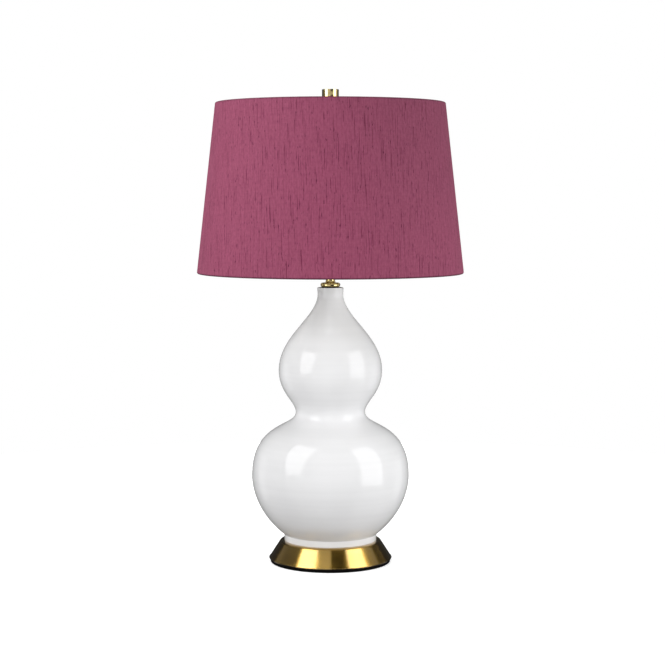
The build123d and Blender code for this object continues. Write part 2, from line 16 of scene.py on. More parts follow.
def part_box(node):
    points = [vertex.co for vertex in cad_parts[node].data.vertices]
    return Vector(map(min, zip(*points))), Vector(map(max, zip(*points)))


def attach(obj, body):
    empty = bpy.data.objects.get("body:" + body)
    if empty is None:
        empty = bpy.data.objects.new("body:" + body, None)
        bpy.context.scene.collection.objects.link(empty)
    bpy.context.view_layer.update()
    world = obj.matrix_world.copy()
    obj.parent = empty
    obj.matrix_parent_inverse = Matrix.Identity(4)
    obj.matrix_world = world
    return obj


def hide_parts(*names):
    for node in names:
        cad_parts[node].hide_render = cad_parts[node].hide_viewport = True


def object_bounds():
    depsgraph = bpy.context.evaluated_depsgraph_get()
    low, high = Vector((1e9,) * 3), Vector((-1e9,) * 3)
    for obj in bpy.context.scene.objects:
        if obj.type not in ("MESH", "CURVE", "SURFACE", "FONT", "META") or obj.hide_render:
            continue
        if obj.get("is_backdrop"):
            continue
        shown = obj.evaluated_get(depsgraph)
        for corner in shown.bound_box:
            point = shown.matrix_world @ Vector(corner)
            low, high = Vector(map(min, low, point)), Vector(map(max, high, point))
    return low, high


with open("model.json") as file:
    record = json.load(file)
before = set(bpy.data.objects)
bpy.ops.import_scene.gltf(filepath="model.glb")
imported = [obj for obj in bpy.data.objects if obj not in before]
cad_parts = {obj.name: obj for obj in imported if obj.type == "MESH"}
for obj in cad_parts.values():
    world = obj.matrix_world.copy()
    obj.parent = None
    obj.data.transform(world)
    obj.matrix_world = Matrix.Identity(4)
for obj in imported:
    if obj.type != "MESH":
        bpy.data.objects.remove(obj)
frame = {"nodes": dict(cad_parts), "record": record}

MM = 0.001
cad_low, cad_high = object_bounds()
record = frame["record"]
slot_of = {part["node"]: part["material_slot"] for part in record["subparts"]}
body_of = {node: body for body, nodes in record["behaviour"]["bodies"].items() for node in nodes}

# %% [markdown]
# The camera comes first, because every later choice is judged through it. The rims of the shade
# and of the base are circles, so their ellipses in the photograph give the height of the eye and
# its distance: a long lens, about 2.65 m away, a little below the middle of the shade and tilted
# down by a few degrees. The camera could also be dragged by eye, but then nothing would line up.

# %% Camera at the photograph's viewing angle
EYE = Vector((0.0032, -2.6477, 0.5632))     # metres
EYE_PITCH = 4.496           # degrees below the horizon
SENSOR_W = 36               # mm
EYE_LENS = 94.10            # mm on that sensor, for the frame of 665 by 662 pixels

bpy.ops.object.select_all(action="DESELECT")
bpy.ops.object.camera_add(location=EYE, rotation=(math.radians(90 - EYE_PITCH), 0, 0))
camera = bpy.context.object
camera.data.lens = EYE_LENS
camera.data.sensor_width = SENSOR_W
bpy.context.scene.camera = camera
bpy.context.scene.view_settings.view_transform = "Standard"
print(f"camera {EYE.length:.2f} m from the foot, lens {EYE_LENS} mm")

# %% [markdown]
# Materials are built from nodes in code. One small function adds a node, sets its properties and
# fills its inputs with values or links, and one turns the hex colours of a paint chart into the
# linear values that a renderer works in. A finish starts as a Principled shader in a new material.
# Patterns are noises. A Mapping node in front stretches a noise until its blots have a real size,
# so every pattern here is given in millimetres and could be checked with a ruler on the lamp. Its
# Location only moves a noise, so that two of them do not line up.

# %% Helpers for finishes
SMOOTH = {"interpolation_type": "SMOOTHSTEP"}       # a Map Range node with soft ends
COLOUR = {"data_type": "RGBA"}                      # a Mix node whose inputs 6 and 7 are colours
MIDDLE = {"From Min": 0.3, "From Max": 0.7}         # where most values of a noise lie
WHITE = (1, 1, 1, 1)

def linear(hex_colour):
    """An sRGB hex colour as linear red, green, blue and alpha."""
    parts = [int(hex_colour[i:i + 2], 16) / 255 for i in (1, 3, 5)]
    return [p / 12.92 if p <= 0.04045 else ((p + 0.055) / 1.055) ** 2.4 for p in parts] + [1.0]


def per_mm(*sizes):
    """The scale at which a noise's blots measure about so many millimetres along each axis."""
    return [1 / (size * MM) for size in sizes]


def plug(tree, node, inputs):
    """Give each input a value, or a link from a socket or from another node's first live output."""
    for key, value in inputs.items():
        if isinstance(value, bpy.types.Node):
            value = next(socket for socket in value.outputs if socket.enabled)
        if isinstance(value, bpy.types.NodeSocket):
            tree.links.new(value, node.inputs[key])
        else:
            node.inputs[key].default_value = value


def add_node(tree, kind, inputs=None, **settings):
    """Add a node with its settings and fill its inputs."""
    made = tree.nodes.new(kind)
    for name, value in settings.items():
        setattr(made, name, value)
    plug(tree, made, inputs or {})
    return made


def new_finish(name, **inputs):
    """A material with a Principled shader, whose inputs are given by name with _ for a space."""
    finish = bpy.data.materials.new(name)
    finish.use_nodes = True
    skin = finish.node_tree.nodes["Principled BSDF"]
    for key, value in inputs.items():
        skin.inputs[key.replace("_", " ")].default_value = value
    return finish, finish.node_tree, skin


finishes = {}

# %% [markdown]
# White glazed earthenware. The clay is thrown, dipped in a tin-white glaze and fired, so the
# surface is a clear hard gloss over a white ground. The eye sees three things: soft shading of
# the white, sharp reflections of the lights, and a slight wobble in those reflections where the
# throwing rings show through. A flat white with gloss would look like plastic, so the colour
# drifts a little, as glaze does where it is thicker, and a bump carries rings and orange peel.

# %% Glaze
RING_PITCH = 7.0            # mm between throwing rings
RING_RUN = 400.0            # mm that a ring runs on before it drifts
PEEL = 14.0                 # mm across a ripple of the glaze
SMEAR = 25.0                # mm across a glossier or a duller patch

def white_glaze():
    finish, tree, skin = new_finish("glazed_earthenware", IOR=1.5, Specular_IOR_Level=0.28)
    place = add_node(tree, "ShaderNodeTexCoord").outputs["Object"]
    thrown = add_node(tree, "ShaderNodeMapping", {
        "Vector": place, "Scale": per_mm(RING_RUN, RING_RUN, RING_PITCH)})
    rings = add_node(tree, "ShaderNodeTexNoise", {"Vector": thrown, "Scale": 1.0, "Detail": 1.0})
    pooling = add_node(tree, "ShaderNodeMapRange", {
        "Value": rings, "From Min": 0.35, "From Max": 0.7}, **SMOOTH)
    tone = add_node(tree, "ShaderNodeMix", {
        0: pooling, 6: linear("#e8e8e9"), 7: linear("#e6e6e7")}, **COLOUR)
    patches = add_node(tree, "ShaderNodeMapping", {"Vector": place, "Scale": per_mm(SMEAR, SMEAR, SMEAR)})
    smears = add_node(tree, "ShaderNodeTexNoise", {"Vector": patches, "Scale": 1.0, "Detail": 2.0})
    roughness = add_node(tree, "ShaderNodeMapRange", {
        "Value": smears, **MIDDLE, "To Min": 0.03, "To Max": 0.05}, **SMOOTH)
    rippled = add_node(tree, "ShaderNodeMapping", {
        "Vector": place, "Scale": per_mm(PEEL, PEEL, PEEL), "Location": (3.0, 3.0, 3.0)})
    peel = add_node(tree, "ShaderNodeTexNoise", {"Vector": rippled, "Scale": 1.0, "Detail": 1.0})
    height = add_node(tree, "ShaderNodeMath", {0: rings, 1: peel}, operation="ADD")
    bump = add_node(tree, "ShaderNodeBump", {"Height": height, "Strength": 0.06, "Distance": 0.4 * MM})
    plug(tree, skin, {"Base Color": tone, "Roughness": roughness, "Normal": bump})
    return finish


finishes["white_glaze"] = white_glaze()
print("finish: glazed earthenware")

# %% [markdown]
# Spun brass, brushed on the lathe and left to age under lacquer. Brushing runs round the base, so
# each scratch spreads a reflection up and down the cone and hardly sideways: a light shows as a
# clean bar from deck to rim. That is what anisotropy does, with the tangent running round the
# axis. The bars would be too clean without fine turning lines in the roughness and a browner
# tone where the lacquer has let the metal age. Along the lower rim the colour is darkened in a thin
# line, which is painted shade under the rolled bead. The lacquer itself is the shader's coat.

# %% Spun and brushed brass
BRUSH_LINE = 0.8            # mm, coarser than real brush marks so that they show in the picture
BRUSH_RUN = 500.0           # mm along a brush mark
AGED_PATCH = (60.0, 60.0, 20.0)     # mm
RIM_DARK = 0.6              # mm, the painted shade along the lower edge, and as much again where it fades

def brushed_brass():
    finish, tree, skin = new_finish(
        "brushed_aged_brass", Metallic=1.0, Anisotropic=0.95, Anisotropic_Rotation=0.25,
        Coat_Weight=1.0, Coat_Roughness=0.1)
    place = add_node(tree, "ShaderNodeTexCoord").outputs["Object"]
    brushed = add_node(tree, "ShaderNodeMapping", {
        "Vector": place, "Scale": per_mm(BRUSH_RUN, BRUSH_RUN, BRUSH_LINE)})
    lines = add_node(tree, "ShaderNodeTexNoise", {"Vector": brushed, "Scale": 1.0, "Detail": 3.0})
    patches = add_node(tree, "ShaderNodeMapping", {"Vector": place, "Scale": per_mm(*AGED_PATCH)})
    ageing = add_node(tree, "ShaderNodeTexNoise", {"Vector": patches, "Scale": 1.0, "Detail": 2.0})
    aged = add_node(tree, "ShaderNodeMapRange", {
        "Value": ageing, "From Min": 0.35, "From Max": 0.7}, **SMOOTH)
    tone = add_node(tree, "ShaderNodeMix", {0: aged, 6: linear("#b99744"), 7: linear("#ae8b3a")}, **COLOUR)
    marks = add_node(tree, "ShaderNodeMapRange", {
        "Value": lines, "From Min": 0.3, "From Max": 0.75, "To Max": 0.3}, **SMOOTH)
    tone = add_node(tree, "ShaderNodeMix", {0: marks, 6: tone, 7: linear("#a37b30")}, **COLOUR)
    level = add_node(tree, "ShaderNodeSeparateXYZ", {0: place}).outputs["Z"]
    # Painted shade: the colour darkens in a thin line along the lower rim, under the bead.
    dark_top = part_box("base_shell")[0].z + RIM_DARK * MM
    painted_rim_shade = add_node(tree, "ShaderNodeMapRange", {
        "Value": level, "From Min": dark_top, "From Max": dark_top + RIM_DARK * MM,
        "To Min": 0.8, "To Max": 0.0}, **SMOOTH)
    tone = add_node(tree, "ShaderNodeMix", {0: painted_rim_shade, 6: tone, 7: linear("#3c2c12")}, **COLOUR)
    roughness = add_node(tree, "ShaderNodeMapRange", {
        "Value": lines, "From Min": 0.25, "From Max": 0.75, "To Min": 0.20, "To Max": 0.26}, **SMOOTH)
    bump = add_node(tree, "ShaderNodeBump", {"Height": lines, "Strength": 0.1, "Distance": 0.02 * MM})
    round_axis = add_node(tree, "ShaderNodeTangent", direction_type="RADIAL", axis="Z")
    plug(tree, skin, {"Base Color": tone, "Roughness": roughness, "Normal": bump, "Tangent": round_axis})
    return finish


finishes["antique_brass"] = brushed_brass()
print("finish: brushed and aged brass")

# %% [markdown]
# Polished brass. The cap, the tube, the finial and the lampholder are turned from rod and only
# polished, so they are paler than the base and mirror the room. The harp is steel wire with a thin
# plating of brass, and the contacts are plain. One function makes the family: its caller gives the
# two tones and the roughness, and it adds faint turning lines and spots where the polish has gone
# dull. Scratches could be drawn one by one, but on pieces this small they would only flicker.

# %% Polished, plain and plated brass
TURN_LINE = (20.0, 20.0, 0.6)       # mm, turning lines run round the piece
DULL_SPOT = 6.0             # mm

def polished_brass(name, bright, dull, roughness):
    """Turned brass in two tones, with faint turning lines."""
    finish, tree, skin = new_finish(name, Metallic=1.0)
    place = add_node(tree, "ShaderNodeTexCoord").outputs["Object"]
    turned_way = add_node(tree, "ShaderNodeMapping", {"Vector": place, "Scale": per_mm(*TURN_LINE)})
    lines = add_node(tree, "ShaderNodeTexNoise", {"Vector": turned_way, "Scale": 1.0, "Detail": 2.0})
    spotted = add_node(tree, "ShaderNodeMapping", {
        "Vector": place, "Scale": per_mm(DULL_SPOT, DULL_SPOT, DULL_SPOT), "Location": (5.0, 5.0, 5.0)})
    spots = add_node(tree, "ShaderNodeTexNoise", {"Vector": spotted, "Scale": 1.0, "Detail": 3.0})
    dulled = add_node(tree, "ShaderNodeMapRange", {
        "Value": spots, "From Min": 0.4, "From Max": 0.75}, **SMOOTH)
    tone = add_node(tree, "ShaderNodeMix", {0: dulled, 6: linear(bright), 7: linear(dull)}, **COLOUR)
    gloss = add_node(tree, "ShaderNodeMapRange", {
        "Value": lines, **MIDDLE, "To Min": roughness * 0.8, "To Max": roughness * 1.3}, **SMOOTH)
    bump = add_node(tree, "ShaderNodeBump", {"Height": lines, "Strength": 0.1, "Distance": 0.03 * MM})
    plug(tree, skin, {"Base Color": tone, "Roughness": gloss, "Normal": bump})
    return finish


finishes["polished_brass"] = polished_brass("polished_brass", "#d0bc86", "#c2ac72", 0.10)
finishes["contact_brass"] = polished_brass("plain_contact_brass", "#d2ad62", "#b58f48", 0.30)
finishes["plated_wire"] = polished_brass("brass_plated_steel", "#d6b56a", "#bf9b52", 0.22)
print("finishes: polished, contact and plated brass")

# %% [markdown]
# Slubbed faux silk. The warp is a smooth fine thread and every so often a yarn swells into a slub,
# a dark dash a couple of millimetres wide and up to forty long. They all run the same way on the
# flat cut, so on the cone they must follow the cloth and not the sides. The pattern is therefore
# drawn on a UV map of the flat cut, in metres. The real threads are a quarter of a millimetre
# apart, too fine for the picture, so the thread lines here are drawn about six times coarser.
# A plain stretched noise would set the slubs in rows, so each yarn is shifted along a little more
# than the one beside it. Where the cloth rolls over the wires, a thin line of painted shade darkens each
# rim.

# %% Silk of the shade
THREAD = (1.7, 42.0)        # mm across and along the thread lines that show
WEFT = (25.0, 1.6)          # mm, the fainter lines across them
GRAIN = (2.6, 6.0)          # mm, specks where the dye took a little more or less
SLUB = (1.55, 38.0)         # mm across and along a slub
KNOT = (SLUB[0] * 1.2, 8.0)         # mm, short dark knots along the slubs
NO_DEPTH = 1000.0           # mm, because the flat cut has no third direction
STAGGER = 15.0              # how far a yarn is shifted along, in multiples of its place across
HEM_LINE = 1.4 * MM         # the painted shade along a hem, and as much again where it fades

def slubbed_silk():
    finish, tree, skin = new_finish(
        "slubbed_silk", Roughness=0.8, Specular_IOR_Level=0.1,
        Sheen_Weight=0.03, Sheen_Roughness=0.4, Sheen_Tint=linear("#e0b4c2"))
    flat = add_node(tree, "ShaderNodeUVMap", uv_map="flat_cloth")
    across, along, _ = add_node(tree, "ShaderNodeSeparateXYZ", {0: flat}).outputs
    shifted = add_node(tree, "ShaderNodeMath", {0: across, 1: STAGGER, 2: along}, operation="MULTIPLY_ADD")
    yarn = add_node(tree, "ShaderNodeCombineXYZ", {0: across, 1: shifted})

    noises = []
    for way, size, detail, shift in (
            (yarn, THREAD, 2.0, 0.0), (flat, WEFT, 2.0, 2.0), (flat, GRAIN, 2.0, 4.0),
            (yarn, SLUB, 1.0, 7.0), (flat, KNOT, 1.0, 9.0)):
        sized = add_node(tree, "ShaderNodeMapping", {
            "Vector": way, "Scale": per_mm(*size, NO_DEPTH), "Location": (shift, shift, shift)})
        noise = add_node(tree, "ShaderNodeTexNoise", {"Vector": sized, "Scale": 1.0, "Detail": detail})
        noises.append(noise)
    threads, weft, grain, streaks, lumps = noises
    slubs = add_node(tree, "ShaderNodeMapRange", {
        "Value": streaks, "From Min": 0.62, "From Max": 0.69}, **SMOOTH)
    thick = add_node(tree, "ShaderNodeMapRange", {
        "Value": streaks, "From Min": 0.50, "From Max": 0.58}, **SMOOTH)
    lumpy = add_node(tree, "ShaderNodeMapRange", {
        "Value": lumps, "From Min": 0.60, "From Max": 0.70}, **SMOOTH)
    knots = add_node(tree, "ShaderNodeMath", {0: thick, 1: lumpy}, operation="MULTIPLY")

    dyed = add_node(tree, "ShaderNodeMapRange", {"Value": grain, **MIDDLE}, **SMOOTH)
    tone = add_node(tree, "ShaderNodeMix", {0: dyed, 6: linear("#8c425e"), 7: linear("#9b4e69")}, **COLOUR)
    for pattern, low, high, strength, colour in (
            (threads, 0.3, 0.7, 0.5, "#7e3a52"), (weft, 0.35, 0.7, 0.2, "#99536b"),
            (slubs, 0.0, 1.0, 0.8, "#5f1a37"), (knots, 0.0, 1.0, 0.9, "#4f1530")):
        share = add_node(tree, "ShaderNodeMapRange", {
            "Value": pattern, "From Min": low, "From Max": high, "To Max": strength}, **SMOOTH)
        tone = add_node(tree, "ShaderNodeMix", {0: share, 6: tone, 7: linear(colour)}, **COLOUR)

    # Painted shade: a thin dark line along each rolled rim, stronger along the bottom one.
    place = add_node(tree, "ShaderNodeTexCoord").outputs["Object"]
    level = add_node(tree, "ShaderNodeSeparateXYZ", {0: place}).outputs["Z"]
    low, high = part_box("shade_fabric")
    hem_shades = []
    for edge, inward, strength in ((low.z, HEM_LINE, 0.75), (high.z, -HEM_LINE, 0.4)):
        hem_shades.append(add_node(tree, "ShaderNodeMapRange", {
            "Value": level, "From Min": edge + inward, "From Max": edge + 2 * inward,
            "To Min": strength, "To Max": 0.0}, **SMOOTH))
    lower, upper = hem_shades
    painted_hem_shade = add_node(tree, "ShaderNodeMath", {0: lower, 1: upper}, operation="MAXIMUM")
    tone = add_node(tree, "ShaderNodeMix", {0: painted_hem_shade, 6: tone, 7: linear("#42202f")}, **COLOUR)

    relief = add_node(tree, "ShaderNodeMath", {0: threads, 1: slubs}, operation="ADD")
    bump = add_node(tree, "ShaderNodeBump", {"Height": relief, "Strength": 0.3, "Distance": 0.2 * MM})
    plug(tree, skin, {"Base Color": tone, "Normal": bump})
    return finish


finishes["raspberry_silk"] = slubbed_silk()
print(f"finish: silk with slubs {SLUB[0]} by {SLUB[1]} mm")

# %% [markdown]
# The rest are plain workshop materials. They differ in colour, gloss and in the size of the grain
# that their making left: moulded rubber is matt and even, cast iron is coarse, zinc plate has fine
# spangle, enamel on the shade's wires pools a little. One function covers them, with the grain in
# the colour, in the roughness and in a bump, and each call says what the material is.

# %% Plain finishes
def grained(name, light, dark, roughness, grain_mm, relief_mm, metallic=0.0, ior=1.5, gloss=0.5):
    """A finish with an even grain: its colour, gloss and relief all vary over grain_mm."""
    finish, tree, skin = new_finish(name, Metallic=metallic, IOR=ior, Specular_IOR_Level=gloss)
    place = add_node(tree, "ShaderNodeTexCoord").outputs["Object"]
    sized = add_node(tree, "ShaderNodeMapping", {
        "Vector": place, "Scale": per_mm(grain_mm, grain_mm, grain_mm)})
    grain = add_node(tree, "ShaderNodeTexNoise", {"Vector": sized, "Scale": 1.0, "Detail": 3.0})
    darker = add_node(tree, "ShaderNodeMapRange", {"Value": grain, **MIDDLE}, **SMOOTH)
    tone = add_node(tree, "ShaderNodeMix", {0: darker, 6: linear(light), 7: linear(dark)}, **COLOUR)
    uneven = add_node(tree, "ShaderNodeMapRange", {
        "Value": grain, **MIDDLE, "To Min": roughness * 0.85, "To Max": roughness * 1.15}, **SMOOTH)
    bump = add_node(tree, "ShaderNodeBump", {
        "Height": grain, "Strength": 0.5, "Distance": relief_mm * MM})
    plug(tree, skin, {"Base Color": tone, "Roughness": uneven, "Normal": bump})
    return finish


finishes["black_rubber"] = grained("moulded_rubber", "#0c0b0b", "#080808", 0.75, 0.8, 0.05, gloss=0.03)
finishes["black_steel"] = grained("black_enamelled_steel", "#1d1d1e", "#161617", 0.35, 1.5, 0.03)
finishes["zinc_steel"] = grained("zinc_plated_steel", "#c9ccd0", "#a9adb2", 0.32, 2.0, 0.02, metallic=1.0)
finishes["cast_iron"] = grained("cast_iron", "#57534f", "#3d3a37", 0.7, 1.6, 0.25, metallic=1.0)
finishes["nylon"] = grained("moulded_nylon", "#dcd9cf", "#d0ccc0", 0.45, 2.5, 0.02, ior=1.53)
finishes["phenolic"] = grained("moulded_phenolic", "#1a1614", "#231d1a", 0.22, 3.0, 0.01, ior=1.6)
finishes["fibre_liner"] = grained("pressed_fibre_board", "#8a7355", "#75603f", 0.85, 0.7, 0.06)
finishes["bulb_metal"] = grained("bright_aluminium", "#cfd1d2", "#b9bcbe", 0.25, 3.0, 0.02, metallic=1.0)
finishes["bulb_solder"] = grained("dull_solder", "#b6b6b4", "#94938f", 0.42, 1.2, 0.08, metallic=1.0)
finishes["black_glass"] = grained("fused_black_glass", "#0d0d10", "#141418", 0.12, 4.0, 0.02, ior=1.55)
finishes["white_lining"] = grained("white_styrene_sheet", "#f0efeb", "#e9e7e2", 0.5, 5.0, 0.02, ior=1.55)
finishes["white_wire"] = grained("white_enamelled_wire", "#eeeeec", "#e2e2df", 0.3, 4.0, 0.03)
finishes["opal_glass"] = grained("opal_bulb_glass", "#f4f3ee", "#efeee8", 0.28, 9.0, 0.01, ior=1.52)
print(f"{len(finishes)} finishes for {len(set(slot_of.values()))} slots")

# %% [markdown]
# Now the tools of the bench. A new piece is only ever added when nothing else is selected,
# because an operator acts on all that is selected. Points are picked by their place, in
# millimetres. A dressed piece gets the finish of its node's slot and the body of that node.

# %% Helpers for picking, closing and dressing pieces
SAME_POINT = 0.002          # mm, points nearer than this are merged
CREASE = 35                 # degrees, past which an edge between two faces stays sharp

def deselect():
    bpy.ops.object.select_all(action="DESELECT")


def only(piece):
    """Make a piece the one that the next operators act on."""
    deselect()
    piece.select_set(True)
    bpy.context.view_layer.objects.active = piece


def edit_all(piece):
    """Open a piece in edit mode with every point selected."""
    only(piece)
    bpy.ops.object.mode_set(mode="EDIT")
    bpy.ops.mesh.select_mode(type="VERT")
    bpy.ops.mesh.select_all(action="SELECT")


def span(node):
    """A CAD node's lowest and highest corners in millimetres."""
    low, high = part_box(node)
    return low / MM, high / MM


def pick_points(piece, test):
    """In edit mode, select the vertices whose place in millimetres passes a test."""
    mesh = bmesh.from_edit_mesh(piece.data)
    for vertex in mesh.verts:
        vertex.select_set(bool(test(vertex.co / MM)))
    mesh.select_flush_mode()
    bmesh.update_edit_mesh(piece.data)


def close_up(angle=CREASE):
    """In edit mode, merge seams and poles and turn the faces outwards, then shade the piece."""
    bpy.ops.mesh.select_all(action="SELECT")
    bpy.ops.mesh.remove_doubles(threshold=SAME_POINT * MM)
    bpy.ops.mesh.delete_loose(use_verts=True, use_edges=True, use_faces=False)
    bpy.ops.mesh.select_all(action="SELECT")
    bpy.ops.mesh.normals_make_consistent(inside=False)
    bpy.ops.object.mode_set(mode="OBJECT")
    bpy.ops.object.shade_smooth_by_angle(angle=math.radians(angle))


def spin_round(steps):
    """In edit mode, carry an outline in the XZ plane once round the lamp's axis and close it."""
    bpy.ops.mesh.select_all(action="SELECT")
    bpy.ops.mesh.spin(steps=steps, angle=2 * math.pi, center=(0, 0, 0), axis=(0, 0, 1))
    close_up()


def apply_modifier(piece, kind, **settings):
    """Add a modifier with its settings and apply it."""
    only(piece)
    modifier = piece.modifiers.new(kind.lower(), kind)
    for name, value in settings.items():
        setattr(modifier, name, value)
    bpy.ops.object.modifier_apply(modifier=modifier.name)


def join(main, *others):
    """Join other pieces into a main one."""
    only(main)
    for piece in others:
        piece.select_set(True)
    bpy.ops.object.join()


def dress(piece, node):
    """Finish a piece as the CAD node that it stands for."""
    piece.data.materials.clear()
    piece.data.materials.append(finishes[slot_of[node]])
    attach(piece, body_of[node])
    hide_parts(node)
    print(f"{piece.name}: {len(piece.data.polygons)} faces, on {body_of[node]}, for {node}")


# %% [markdown]
# Most metal parts of a lamp are turned on a lathe, and so are these. A circle with one vertex for
# each corner is added, its vertices are dragged to the corners of half a cross-section, each
# corner is rounded with a vertex bevel, and the outline is spun round the axis. A cylinder
# with bevelled edges would do for one plain part, but an outline gives every shoulder and groove.

# %% Helpers for turned pieces
ROUND_STEPS = 6             # facets in a rounded corner
NEAR = 0.001                # mm, how close a point has to be to count as a corner
DRILL_SIDES = 48
SLIVER = 0.005              # mm, faces thinner than this are dissolved after drilling

def turned(name, corners, steps=160):
    """A turned piece from (radius, height, rounding) corners in millimetres."""
    deselect()
    bpy.ops.mesh.primitive_circle_add(vertices=len(corners), radius=MM)
    piece = bpy.context.object
    piece.name = name
    for vertex, (radius, height, _) in zip(piece.data.vertices, corners):
        vertex.co = (radius * MM, 0, height * MM)
    edit_all(piece)
    for radius, height, rounding in corners:
        if rounding:
            corner = Vector((radius, 0, height))
            pick_points(piece, lambda place: (place - corner).length < NEAR)
            bpy.ops.mesh.bevel(offset=rounding * MM, segments=ROUND_STEPS, affect="VERTICES")
    spin_round(steps)
    return piece


def drill(piece, start, end, radius):
    """Bore a round hole through a piece from one point to another, in millimetres."""
    way = Vector(end) - Vector(start)
    deselect()
    bpy.ops.mesh.primitive_cylinder_add(
        vertices=DRILL_SIDES, radius=radius * MM, depth=way.length * MM,
        location=(Vector(start) + Vector(end)) / 2 * MM, rotation=way.to_track_quat("Z", "Y").to_euler())
    bit = bpy.context.object
    apply_modifier(piece, "BOOLEAN", object=bit, operation="DIFFERENCE", solver="EXACT")
    bpy.data.objects.remove(bit)
    edit_all(piece)
    bpy.ops.mesh.dissolve_degenerate(threshold=SLIVER * MM)
    close_up()


# %% [markdown]
# The brass base is one disc of sheet, spun over a wooden form into a shallow cone with a flat deck,
# and its lower edge is rolled into a thin bead, which catches the light as a fine bright line.
# It stands on a black rubber pad that shows as a dark band. The flex comes in at the rear, so the
# wall is bored there under its rubber grommet. Both are turned, and all sizes are in millimetres.

# %% Brass base and its pad
FIT = 0.1                   # play round the threaded rod and in the neck
DECK_R = 76.5
SHELL_T = 1.2
SHOULDER = 3.0              # rounding where the cone meets the deck
BEAD_H = 1.3
BEAD_ROUND = 0.55
GLAND_RISE = 11.5           # from the rim up to the flex inlet
GLAND_R = 5.0
GLAND_REACH = 6.0           # how far the drill goes in and out from the wall's outside
PAD_RIM = 9.0               # raised edge of the pad round the closing plate's screws
PAD_SINK = 2.4

shell_low, shell_high = span("base_shell")
rim_r, rim_z, deck_z = shell_high.x, shell_low.z, shell_high.z
rod_r = span("threaded_rod")[1].x + FIT
cone_lean = (rim_r - DECK_R) / (deck_z - rim_z)
wall_across = SHELL_T * math.hypot(1, cone_lean)

def cone_r(height):
    """Radius of the cone's outside at a height."""
    return rim_r - (height - rim_z) * cone_lean


base_shell = turned("spun_base", [
    (rod_r, deck_z - SHELL_T, 0),
    (cone_r(deck_z - SHELL_T) - wall_across, deck_z - SHELL_T, SHOULDER - SHELL_T),
    (rim_r - wall_across, rim_z, 0.3),
    (rim_r, rim_z, BEAD_ROUND),
    (rim_r, rim_z + BEAD_H, BEAD_ROUND),
    (cone_r(rim_z + BEAD_H), rim_z + BEAD_H, 0.15),
    (DECK_R, deck_z, SHOULDER),
    (rod_r, deck_z, 0),
], steps=256)
gland_z = rim_z + GLAND_RISE
gland_at = Vector((0, cone_r(gland_z), gland_z))
gland_way = GLAND_REACH * Vector((0, 1, cone_lean)).normalized()
drill(base_shell, gland_at - gland_way, gland_at + gland_way, GLAND_R)
dress(base_shell, "base_shell")

pad_low, pad_high = span("foot_pad")
foot_pad = turned("foot_pad_moulded", [
    (0, pad_low.z, 0),
    (pad_high.x, pad_low.z, 0.8),
    (pad_high.x, pad_high.z, 0.3),
    (pad_high.x - PAD_RIM, pad_high.z, 0.3),
    (pad_high.x - PAD_RIM, pad_high.z - PAD_SINK, 0.3),
    (0, pad_high.z - PAD_SINK, 0),
], steps=192)
dress(foot_pad, "foot_pad")

# %% [markdown]
# A pot and a bulb have no corners to round, so their outlines are drawn with the pen tool: a
# Bezier curve whose points and handles are set in code. The curve is then converted to a bare
# outline of edges, which can be spun as a turned piece is. A hundred points typed in one by one
# would give the same outline, but nobody could read it or change it.

# %% Helpers for drawn outlines
def drawn(name, points, closed, resolution=20):
    """A Bezier curve in the XZ plane, from (x, z, handle before, handle after) points in millimetres.
    A handle is a place, or None where that side runs straight."""
    deselect()
    bpy.ops.curve.primitive_bezier_curve_add()
    curve = bpy.context.object
    curve.name = name
    curve.data.resolution_u = resolution
    line = curve.data.splines[0]
    line.bezier_points.add(len(points) - len(line.bezier_points))
    line.use_cyclic_u = closed
    for knot, (x, z, before, after) in zip(line.bezier_points, points):
        knot.handle_left_type = "FREE" if before else "VECTOR"
        knot.handle_right_type = "FREE" if after else "VECTOR"
        knot.co = (x * MM, 0, z * MM)
    for knot, (_, _, before, after) in zip(line.bezier_points, points):
        if before:
            knot.handle_left = (before[0] * MM, 0, before[1] * MM)
        if after:
            knot.handle_right = (after[0] * MM, 0, after[1] * MM)
    return curve


def to_outline(curve):
    """Turn a drawn curve into a bare edge outline, in edit mode."""
    only(curve)
    bpy.ops.object.convert(target="MESH")
    outline = bpy.context.object
    edit_all(outline)
    bpy.ops.mesh.remove_doubles(threshold=SAME_POINT * MM)
    return outline


# %% [markdown]
# The gourd is a thrown and glazed pot with two bellies. Its outline is a chain of Bezier curves
# between five stations: the foot, the wide belly, the waist, the upper belly and the neck. At a
# station the outline runs straight up, and the length of its handle sets how round it is there,
# so the handle is worked out from a radius of curvature. The inner wall is the same chain, set in
# by the wall. A subdivided cage could be pushed into this shape, but it would not hold the
# photograph's outline, and a glossy pot shows every dent.

# %% Glazed gourd
FOOT = (70.8, 8.5)          # radius and height above the pot's underside, mm
BELLY = (120.3, 99.8)
WAIST = (53.0, 196.6)
CROWN = (79.0, 260.7)
NECK = (19.4, 377.5)
LIP_R = 20.0
BELLY_BEND, WAIST_BEND, CROWN_BEND = 147.8, 14.0, 69.8      # radii of curvature, mm
FOOT_ANGLE = 38.0           # degrees above level, where the belly leaves the foot
LOW_BEND_IN = 0.495         # mm, how far inside the belly its lower bend turns
NECK_FLARE = 35.9
WALL = 6.0
FOOT_RING, FOOT_RECESS, FLOOR_HOLE = 11.0, 4.0, 8.0
EDGE_ROUND = 1.0            # mm, the lip
SKIRT_W, SKIRT_H, SKIRT_ROUND = 1.1, 0.9, 0.3       # mm, the glazed skirt that hides the foot's gasket
NECK_HOLE = 11.0

pot_low, pot_high = span("gourd_body")
pot_z, lip_z = pot_low.z, pot_high.z

def handle(bend, reach):
    """Length of an upright handle that gives a radius of curvature, for a reach across."""
    return math.sqrt(2 / 3 * bend * reach)


